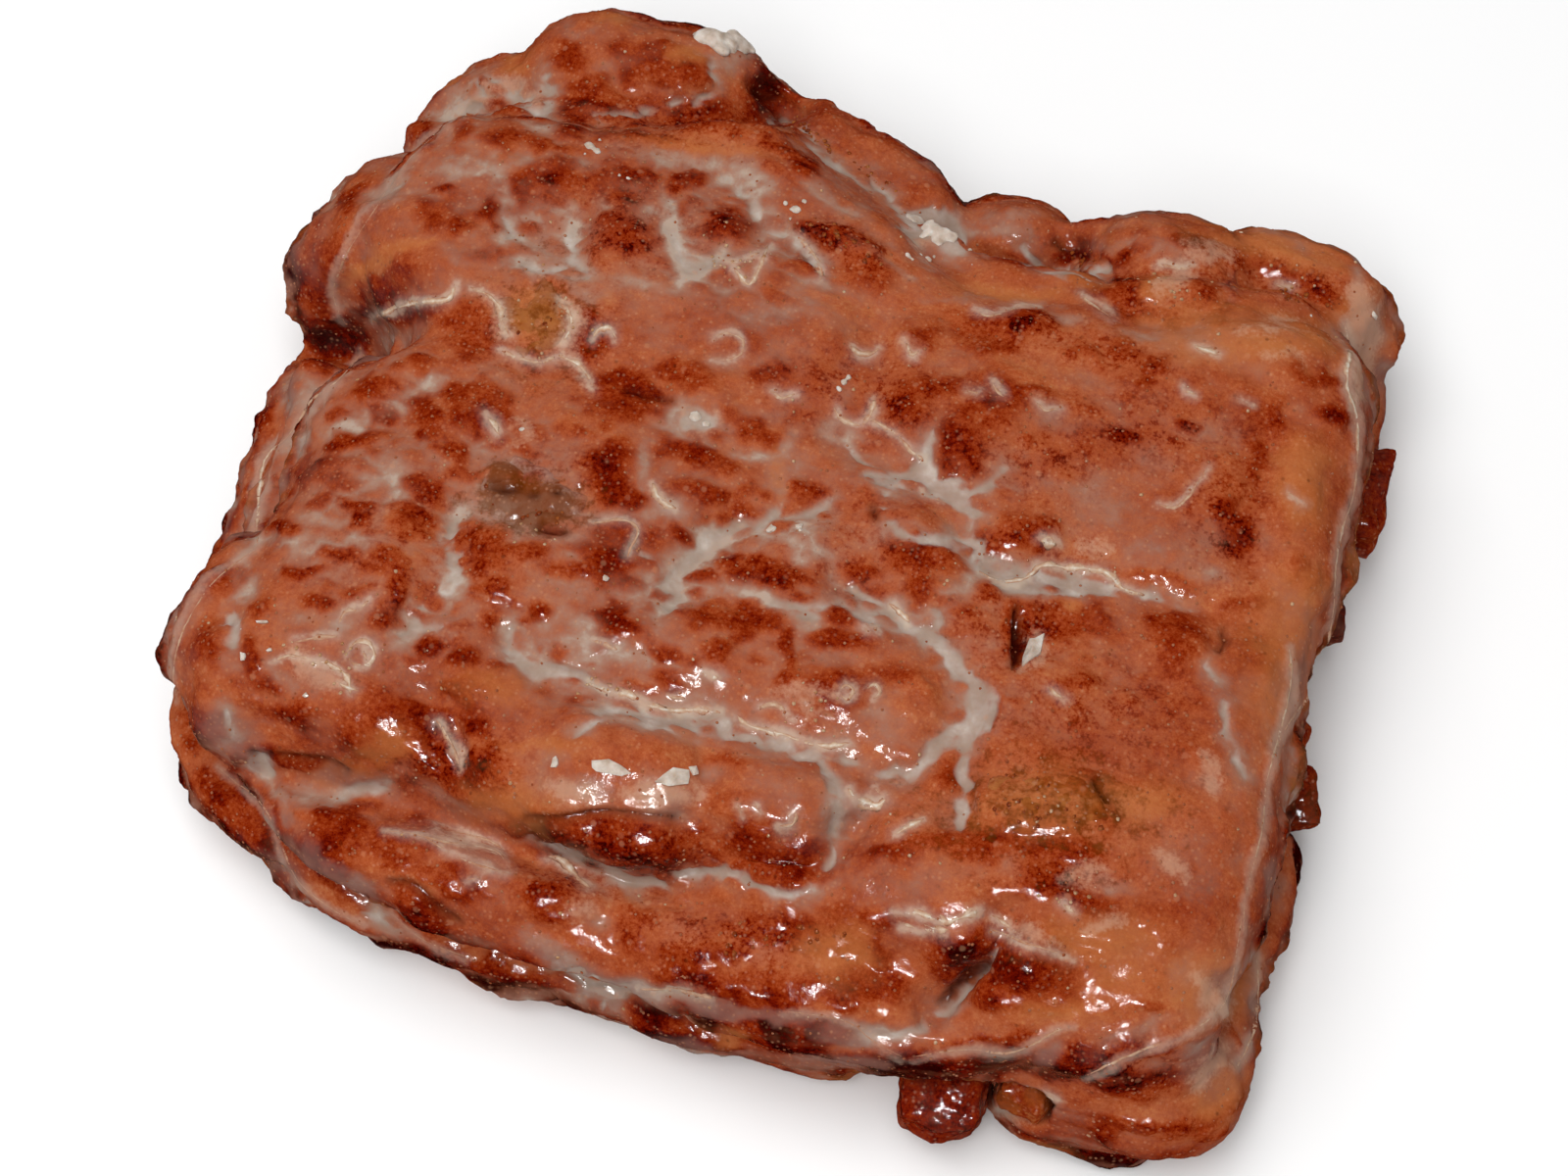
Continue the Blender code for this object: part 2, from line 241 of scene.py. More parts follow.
pools = (  # milky glaze that ran together in the hollows: (u, v, half width)
    ((863, 456, 2), (881, 475, 5), (900, 490, 8), (925, 486, 11), (944, 486, 15), (966, 497, 15),
     (985, 514, 13), (992, 540, 9), (1000, 566, 12), (1025, 588, 13), (1070, 592, 12), (1120, 597, 10),
     (1160, 605, 6), (1213, 621, 3)), ((952, 440, 2), (946, 462, 6), (942, 486, 12)),
    ((903, 503, 4), (901, 520, 3), (915, 542, 5), (945, 552, 6), (975, 556, 8), (999, 560, 9)),
    ((985, 506, 8), (1004, 498, 5), (1020, 486, 4), (1025, 472, 2)),
    ((858, 596, 3), (870, 603, 5), (897, 620, 8), (917, 632, 10), (937, 644, 9), (955, 657, 10),
     (971, 673, 10), (985, 692, 10), (998, 716, 12), (985, 742, 12), (979, 765, 8), (985, 800, 10),
     (979, 838, 8)), ((950, 652, 6), (956, 633, 5), (948, 616, 3)),
    ((998, 702, 4), (1012, 712, 7), (1006, 735, 8)),
    ((985, 746, 8), (955, 757, 7), (944, 778, 6), (917, 794, 6), (885, 780, 5)),
    ((688, 628, 5), (685, 610, 9), (689, 590, 8), (701, 577, 7), (710, 562, 7), (726, 547, 7), (750, 538, 5),
     (775, 533, 4), (790, 522, 7), (810, 518, 6), (828, 523, 5), (847, 511, 2)),
    ((684, 593, 4), (668, 577, 3), (653, 566, 2)),
    ((788, 614, 4), (806, 617, 6), (826, 627, 8), (840, 621, 4), (862, 618, 3), (895, 630, 7)),
    ((520, 640, 3), (523, 662, 8), (540, 683, 8), (563, 684, 9), (585, 688, 8), (600, 697, 5), (618, 704, 3)),
    ((617, 722, 4), (640, 724, 7), (668, 733, 10), (700, 736, 11), (737, 741, 11), (762, 750, 9),
     (790, 759, 7), (826, 768, 7), (858, 772, 5), (890, 780, 5), (930, 790, 4)),
    ((617, 722, 6), (604, 735, 6), (591, 746, 4), (588, 756, 2)),
    ((841, 776, 7), (852, 797, 8), (856, 822, 6), (849, 848, 5)),
    ((466, 528, 2), (460, 550, 9), (463, 577, 9), (459, 598, 7), (440, 606, 4), (432, 623, 4), (422, 640, 6),
     (408, 651, 3)), ((425, 640, 3), (458, 639, 2)), ((517, 216, 3), (522, 232, 5), (518, 250, 3)),
    ((524, 264, 2), (546, 270, 4), (572, 273, 6), (597, 282, 3)),
    ((560, 217, 3), (577, 228, 6), (580, 246, 6), (584, 264, 5), (598, 281, 3)),
    ((556, 78, 5), (561, 95, 8), (556, 114, 6)), ((503, 82, 5), (520, 92, 8), (537, 104, 8), (549, 116, 4)),
    ((466, 119, 3), (478, 112, 8), (490, 106, 5), (488, 84, 3)),
    ((690, 244, 5), (694, 258, 6), (704, 269, 7), (716, 272, 7), (730, 264, 4)),
    ((735, 171, 2), (745, 188, 5), (758, 204, 6), (773, 219, 6), (795, 238, 5), (818, 254, 4), (836, 277, 4)),
    ((783, 122, 2), (805, 126, 3), (822, 138, 3), (836, 155, 3), (852, 168, 4), (876, 180, 4), (904, 195, 4),
     (922, 218, 5), (934, 240, 5)),
    ((606, 121, 3), (640, 117, 4), (680, 108, 4), (712, 101, 4), (726, 92, 5), (728, 70, 6)),
    ((1231, 680, 3), (1246, 704, 4), (1250, 738, 4), (1259, 772, 4), (1270, 792, 2)),
    ((1180, 607, 4), (1200, 610, 4), (1212, 617, 2)),
    ((1046, 252, 4), (1062, 268, 8), (1080, 280, 7), (1108, 284, 7), (1130, 274, 4)),
    ((543, 852, 3), (575, 864, 7), (607, 878, 8), (635, 896, 9), (665, 901, 8), (700, 893, 9), (724, 887, 10),
     (748, 893, 8), (776, 905, 7), (806, 913, 5), (832, 905, 4), (846, 888, 5), (850, 866, 4)),
    ((716, 420, 8), (703, 428, 10), (722, 430, 9)), ((260, 766, 2), (270, 780, 6), (280, 792, 4)),
    ((370, 936, 3), (388, 942, 7), (404, 948, 5)), ((350, 812, 4), (372, 806, 8), (398, 802, 3)),
    ((222, 722, 2), (230, 735, 5), (237, 748, 3)),
    ((244, 606, 3), (240, 625, 7), (238, 645, 6), (235, 676, 3)),
    ((928, 232, 11), (942, 229, 19), (960, 234, 22), (976, 246, 15)),
    ((1019, 970, 1), (1005, 985, 3), (989, 1003, 4), (973, 1024, 5), (956, 1038, 4)),
    ((566, 984, 3), (590, 994, 7), (622, 1008, 8), (640, 1008, 4)),
    ((650, 1006, 2), (690, 1012, 4), (727, 1018, 2)),
    ((895, 1057, 2), (915, 1057, 4), (938, 1050, 5), (954, 1040, 4)), ((600, 1020, 3), (625, 1030, 4)),
    ((1010, 1140, 5), (1030, 1130, 7), (1046, 1132, 4)),
)
films = (  # thinner pink-grey glaze with soft edges: (u, v, half length, half width, turn, strength)
    (300, 455, 20, 10, -30, 0.9), (345, 437, 30, 9, -15, 1), (398, 423, 30, 10, -15, 1),
    (440, 396, 34, 11, -22, 1), (490, 388, 30, 9, 0, 0.9), (330, 553, 75, 9, 0, 0.9),
    (410, 495, 40, 25, 40, 0.6), (290, 690, 40, 18, 25, 0.8), (345, 640, 45, 30, -20, 0.5),
    (705, 286, 24, 18, 0, 0.9), (477, 421, 12, 10, 0, 0.7), (430, 160, 30, 12, 0, 0.8),
    (480, 172, 55, 14, 0, 1), (485, 176, 18, 10, 5, 1.2), (520, 195, 40, 12, 35, 0.8),
    (565, 200, 30, 14, 20, 0.7), (690, 163, 52, 12, 5, 1), (640, 190, 40, 12, 10, 0.8),
    (655, 215, 14, 30, 0, 0.8), (760, 60, 25, 20, 0, 0.8), (640, 60, 45, 12, -12, 0.8),
    (870, 215, 45, 14, 30, 0.7), (900, 300, 60, 14, 0, 0.6), (975, 306, 60, 7, 0, 1),
    (1040, 310, 40, 8, 5, 1), (1090, 327, 40, 9, 12, 1), (1160, 343, 55, 9, 2, 1.1),
    (1225, 335, 30, 7, -12, 1), (1252, 300, 6, 30, 0, 1), (1200, 272, 22, 14, -20, 0.9),
    (1050, 425, 50, 18, 5, 0.8), (1130, 400, 60, 20, 20, 0.5), (975, 602, 30, 14, 0, 0.8),
    (770, 600, 26, 10, 20, 1), (658, 470, 9, 32, 0, 0.9), (723, 457, 20, 7, -10, 0.9),
    (765, 465, 35, 8, 5, 0.9), (808, 448, 12, 20, 30, 0.8), (850, 440, 30, 16, 20, 0.8),
    (577, 804, 52, 20, 5, 0.9), (680, 812, 45, 30, 10, 1), (720, 790, 50, 14, 5, 0.6),
    (800, 800, 40, 25, 0, 0.5), (990, 540, 14, 14, 0, 0.5), (1130, 905, 34, 12, -8, 1),
    (950, 895, 56, 28, 0, 0.6), (1030, 880, 20, 14, 0, 0.5), (1205, 1000, 18, 30, 20, 0.9),
    (1225, 860, 30, 50, 10, 0.4), (1240, 590, 40, 14, 10, 0.5), (1190, 560, 60, 30, 0, 0.4),
    (1100, 500, 50, 30, 20, 0.4), (1180, 470, 40, 26, 0, 0.5), (1230, 440, 34, 20, 0, 0.6),
    (1290, 560, 16, 50, 0, 0.4), (520, 520, 40, 30, 0, 0.3), (600, 650, 40, 20, 20, 0.5),
    (650, 590, 24, 30, 20, 0.5), (600, 560, 40, 14, 0, 0.4), (900, 745, 50, 30, 0, 0.7),
    (870, 840, 40, 30, 0, 0.4), (240, 750, 34, 24, 35, 0.8), (300, 880, 20, 40, -35, 0.8),
    (460, 860, 50, 16, 20, 0.3), (1072, 1073, 24, 10, -30, 1.3), (1170, 1050, 60, 12, -20, 0.8),
    (1275, 1010, 10, 50, 0, 1), (1300, 900, 14, 30, 0, 1), (1395, 380, 20, 34, 0, 0.9),
    (560, 775, 30, 20, 0, 0.4), (740, 940, 50, 12, 0, 0.6), (610, 945, 30, 16, 20, 0.5),
    (1400, 330, 20, 20, 0, 0.6), (860, 400, 20, 16, 0, 0.5), (1020, 232, 40, 10, 0, 1),
    (1300, 240, 60, 9, 8, 0.8), (600, 30, 40, 14, -10, 0.5), (680, 40, 40, 12, 12, 0.6),
    (825, 555, 34, 20, 30, 1.3), (1036, 220, 44, 9, 0, 1.3), (268, 780, 12, 30, -30, 1.6),
    (292, 822, 11, 30, -30, 1.7), (330, 872, 11, 40, -40, 1.7), (372, 918, 12, 34, -42, 1.7),
    (332, 806, 44, 22, 0, 1.6), (272, 845, 16, 34, -35, 0.6), (225, 745, 30, 22, 30, 1.2),
    (600, 1005, 50, 16, 25, 1.5), (760, 1030, 90, 9, 9, 1.5), (880, 1055, 44, 15, 12, 1.4),
    (560, 968, 44, 12, 22, 1.3), (700, 1062, 60, 7, 12, 0.9), (860, 1080, 60, 8, 4, 1.0),
    (232, 480, 22, 70, 12, 1.1), (250, 560, 16, 50, 10, 1.0), (300, 400, 24, 30, 40, 1.0),
    (195, 640, 16, 50, 10, 0.9), (320, 240, 26, 60, 28, 1.0), (455, 110, 26, 34, 30, 0.9),
    (570, 170, 90, 14, 8, 1.1), (620, 190, 14, 50, 20, 1.1), (680, 225, 16, 50, -10, 1.1),
    (545, 210, 16, 40, 0, 1.0), (660, 290, 70, 10, 5, 0.8), (400, 190, 40, 14, -30, 0.9),
    (770, 180, 14, 40, -40, 1.2), (850, 200, 80, 9, 30, 1.1), (900, 270, 70, 8, 30, 1.0),
    (480, 260, 50, 12, 10, 0.8), (1255, 300, 8, 40, 10, 1.2), (1170, 255, 60, 10, 5, 0.8),
    (1385, 300, 14, 60, 0, 0.9), (1410, 370, 14, 50, 0, 0.8), (1388, 345, 34, 60, 0, 1.5),
    (1312, 690, 40, 110, 4, 0.6), (1240, 1000, 50, 50, 0, 0.5), (1240, 1085, 44, 34, -30, 0.9),
    (1240, 345, 80, 30, 4, 0.7), (640, 240, 200, 90, 14, 0.2), (337, 487, 34, 20, 0, 0.7),
    (640, 1008, 60, 16, 14, 1.1),
)
patchesAndSheens = (  # ragged cream patches that lie flat, partly painted highlight where the wet glaze shines: (u, v, half width)
    ((792, 706, 2), (812, 709, 6), (836, 705, 5), (852, 709, 3)),
    ((818, 712, 5), (826, 726, 8), (822, 740, 4)), ((836, 722, 4), (852, 727, 2)),
    ((480, 293, 2), (500, 304, 6), (510, 322, 6), (521, 344, 4)),
    ((572, 312, 5), (584, 326, 8), (576, 348, 7), (590, 372, 6), (603, 390, 4)),
    ((1096, 562, 4), (1114, 560, 9), (1130, 557, 5)), ((640, 806, 10), (676, 812, 14), (700, 812, 6)),
    ((560, 804, 8), (590, 812, 14), (610, 818, 6)), ((705, 800, 6), (712, 812, 9)),
    ((585, 920, 4), (595, 924, 9), (604, 928, 4)), ((450, 852, 3), (480, 860, 9), (508, 870, 7)),
    ((1058, 640, 3), (1060, 662, 8), (1046, 682, 4)), ((525, 428, 3), (532, 436, 8), (534, 448, 5)),
    ((700, 424, 8), (716, 430, 12), (726, 424, 6)),
    ((470, 112, 6), (486, 104, 9), (520, 88, 10), (545, 104, 8)),
    ((1186, 272, 4), (1206, 275, 7), (1218, 270, 3)), ((455, 750, 3), (462, 768, 6), (468, 782, 3)),
    ((300, 668, 8), (330, 690, 12), (350, 700, 6)), ((1180, 872, 5), (1194, 886, 10), (1208, 903, 6)),
    ((940, 238, 14), (966, 232, 14)), ((1110, 950, 6), (1130, 940, 9), (1146, 934, 5)),
    ((1084, 903, 5), (1105, 893, 9), (1130, 890, 5)), ((1020, 935, 5), (1050, 950, 8), (1076, 962, 5)),
    ((1184, 300, 8), (1204, 292, 13), (1214, 280, 8)), ((1030, 1136, 8), (1060, 1128, 8)),
    ((1222, 1102, 12), (1246, 1076, 14)), ((1225, 1000, 12), (1246, 1030, 14)),
    ((1215, 258, 8), (1250, 262, 10)), ((1228, 770, 7), (1240, 805, 9)),
    ((1384, 296, 12), (1392, 340, 18), (1384, 412, 8)), ((1270, 338, 4), (1310, 330, 6), (1345, 340, 3)),
    ((1290, 360, 4), (1330, 368, 5)),
)
creamsAndSheens = (  # thick cream-coloured runs, curls and edges of glaze, partly painted highlight where the wet glaze shines: (u, v, half width)
    ((775, 721, 1.5), (795, 720, 2), (801, 730, 2), (808, 738, 1.5)),
    ((752, 730, 2), (760, 738, 2), (775, 744, 3), (800, 750, 3), (821, 758, 2), (847, 761, 3), (867, 758, 2)),
    ((858, 703, 2), (864, 699, 2), (870, 705, 2), (865, 713, 2), (858, 709, 1.5)),
    ((885, 702, 1.5), (892, 698, 2), (897, 706, 2), (891, 713, 1.5)),
    ((717, 686, 3), (727, 690, 5), (733, 692, 2)), ((604, 653, 1), (618, 658, 2), (630, 663, 2)),
    ((683, 711, 2), (699, 713, 2)),
    ((600, 697, 3), (620, 704, 3), (648, 711, 3), (663, 720, 3), (684, 725, 3), (709, 724, 3), (735, 728, 2)),
    ((277, 676, 1), (290, 670, 2), (305, 670, 2), (323, 674, 3), (341, 680, 3), (355, 692, 3), (357, 708, 2)),
    ((352, 668, 1), (362, 657, 2), (376, 658, 3), (381, 669, 3), (370, 680, 3), (358, 676, 1)),
    ((346, 636, 1), (353, 625, 2), (366, 621, 2), (376, 613, 1)),
    ((300, 655, 1), (325, 650, 2), (345, 650, 1)), ((346, 697, 2), (356, 702, 3), (366, 705, 1)),
    ((371, 664, 2), (374, 674, 2)),
    ((480, 293, 1), (496, 300, 2), (509, 312, 3), (512, 328, 2), (521, 344, 1)),
    ((569, 308, 1), (580, 318, 2), (583, 332, 3), (575, 348, 2)),
    ((570, 362, 2), (586, 370, 3), (600, 383, 2), (605, 398, 1)),
    ((605, 344, 2), (612, 335, 3), (622, 335, 3), (629, 345, 2)),
    ((383, 324, 2), (405, 314, 3), (432, 308, 3), (457, 305, 3), (464, 290, 2)),
    ((512, 358, 2), (530, 366, 2), (550, 370, 2), (566, 364, 2)),
    ((814, 242, 1.5), (826, 254, 2), (836, 270, 2), (837, 286, 2)),
    ((728, 343, 1), (742, 340, 1.5), (757, 347, 2), (757, 360, 1), (744, 367, 1.5), (727, 365, 0.5)),
    ((868, 353, 2), (876, 360, 3), (890, 361, 2), (898, 354, 1)),
    ((787, 399, 2), (798, 406, 2), (811, 402, 2)),
    ((666, 493, 2), (671, 506, 3), (680, 515, 3), (690, 519, 2)),
    ((1062, 551, 3), (1070, 554, 5), (1078, 556, 2)), ((1070, 701, 1), (1078, 708, 2), (1086, 713, 1)),
    ((999, 583, 2), (1014, 591, 3), (1034, 593, 3), (1050, 588, 3), (1062, 578, 3), (1088, 579, 3),
     (1126, 583, 3), (1145, 600, 3), (1168, 607, 2)),
    ((851, 416, 2), (860, 428, 2), (876, 433, 2), (888, 424, 2), (892, 408, 2)),
    ((889, 429, 2), (912, 441, 2), (927, 457, 2), (942, 470, 3)),
    ((907, 616, 2), (917, 624, 3), (928, 635, 3)),
    ((884, 646, 1.5), (884, 638, 1.5), (892, 637, 1.5), (894, 645, 1.5)),
    ((559, 874, 2), (570, 876, 3), (580, 885, 3), (590, 895, 2), (602, 906, 2)),
    ((500, 869, 2), (508, 872, 2)), ((753, 822, 2), (757, 830, 1)), ((770, 820, 2), (775, 828, 1)),
    ((796, 843, 2), (808, 842, 3), (812, 829, 2)),
    ((866, 804, 3), (872, 813, 4), (884, 819, 5), (896, 821, 4), (905, 815, 3)),
    ((893, 805, 2), (898, 811, 1)), ((914, 851, 2), (928, 843, 3), (943, 836, 2)),
    ((914, 928, 2), (937, 932, 3), (965, 940, 3), (984, 935, 4), (997, 930, 4)),
    ((922, 944, 2), (945, 948, 3), (968, 948, 2)), ((1012, 934, 1), (1026, 943, 2), (1042, 954, 1)),
    ((1010, 948, 0.5), (1030, 955, 1.5), (1050, 964, 1), (1072, 970, 1.5), (1095, 978, 1)),
    ((1086, 923, 2), (1092, 928, 2.5), (1097, 932, 1)),
    ((395, 848, 0.5), (420, 850, 1), (450, 858, 1.5), (480, 862, 2), (505, 868, 2), (515, 878, 1)),
    ((430, 852, 0.5), (455, 868, 1), (485, 882, 1), (520, 892, 1)),
    ((440, 846, 0.5), (470, 850, 1), (500, 858, 1.5), (512, 866, 1)), ((476, 898, 1), (490, 895, 1)),
    ((445, 735, 1), (455, 748, 2), (463, 765, 2), (468, 780, 1)),
    ((653, 1010, 1.5), (691, 1010, 2), (727, 1019, 1.5)),
    ((1183, 515, 1), (1198, 518, 1.5), (1212, 508, 1.5), (1222, 492, 1), (1232, 478, 1)),
    ((1219, 353, 2), (1230, 357, 3), (1243, 362, 3)), ((1207, 395, 1.5), (1214, 400, 2), (1221, 402, 1)),
    ((1265, 408, 1), (1276, 412, 1)), ((1058, 411, 1.5), (1068, 419, 2), (1082, 416, 1.5)),
    ((1012, 390, 1), (1018, 401, 2), (1024, 405, 1)), ((925, 350, 2), (930, 362, 2), (938, 358, 1)),
    ((994, 317, 1), (1008, 322, 2), (1025, 319, 1.5), (1042, 312, 1.5), (1060, 314, 1)),
    ((984, 398, 1), (1000, 402, 1.5)), ((942, 500, 2), (960, 512, 1)),
    ((1105, 303, 2), (1120, 314, 2), (1134, 324, 1)), ((1316, 503, 1), (1321, 509, 1.5), (1326, 516, 1)),
    ((1185, 270, 1.5), (1205, 274, 2), (1215, 270, 1.5)), ((1300, 290, 1), (1316, 296, 1.5)),
    ((495, 423, 2), (502, 432, 3), (510, 444, 2)),
    ((749, 273, 2), (757, 283, 3), (764, 291, 2), (772, 280, 2), (777, 268, 2), (784, 250, 2)),
    ((733, 262, 1.5), (748, 268, 2), (760, 262, 2), (775, 258, 2)), ((1067, 1118, 3), (1075, 1122, 4)),
    ((604, 534, 1), (622, 531, 1.5), (642, 532, 2), (652, 542, 2), (644, 558, 1.5), (640, 568, 1)),
)
rimsAndSheens = (  # pale thin edge of the glaze sheet at the brow of the upper slab, partly painted reflection along the side walls: (u, v, half width)
    ((455, 130, 1), (430, 150, 1.5), (405, 177, 2), (385, 210, 1.5), (365, 240, 1.5), (350, 268, 2),
     (340, 300, 2), (352, 330, 1)),
    ((367, 363, 2), (345, 388, 3), (318, 408, 4), (306, 428, 3), (292, 447, 3), (274, 463, 5), (267, 484, 6),
     (264, 510, 5), (262, 535, 4), (263, 556, 2)),
    ((262, 560, 1.5), (240, 575, 2), (215, 597, 2), (195, 627, 2), (181, 660, 3), (177, 692, 2),
     (182, 716, 1)),
    ((1372, 330, 3), (1377, 358, 6), (1375, 395, 7), (1385, 428, 6), (1385, 470, 4), (1381, 505, 3),
     (1370, 540, 4), (1363, 580, 4), (1361, 620, 3), (1353, 668, 3), (1343, 702, 3), (1320, 730, 3),
     (1304, 760, 3), (1292, 800, 3), (1289, 840, 3), (1280, 880, 3), (1271, 915, 2), (1269, 950, 2)),
    ((1315, 660, 2), (1318, 684, 4), (1314, 716, 5), (1305, 749, 4), (1297, 780, 3)),
    ((1269, 925, 1), (1262, 970, 2), (1255, 1010, 2), (1240, 1035, 3), (1205, 1058, 3), (1165, 1072, 3),
     (1132, 1086, 3), (1108, 1098, 1)),
    ((222, 782, 1), (240, 798, 1.5), (262, 815, 2), (280, 842, 2), (290, 870, 2), (305, 900, 2),
     (335, 925, 2), (372, 946, 1)),
    ((800, 1032, 1), (840, 1037, 1.5), (870, 1045, 1.5), (890, 1062, 1.5), (920, 1078, 1)),
    ((398, 930, 1), (430, 958, 1.5), (475, 976, 1.5)),
    ((934, 1078, 1), (965, 1073, 2), (993, 1071, 3), (1023, 1075, 3), (1052, 1067, 3), (1078, 1052, 3),
     (1095, 1048, 2)), ((1282, 975, 3), (1284, 1010, 4), (1280, 1050, 4), (1262, 1090, 3)),
)
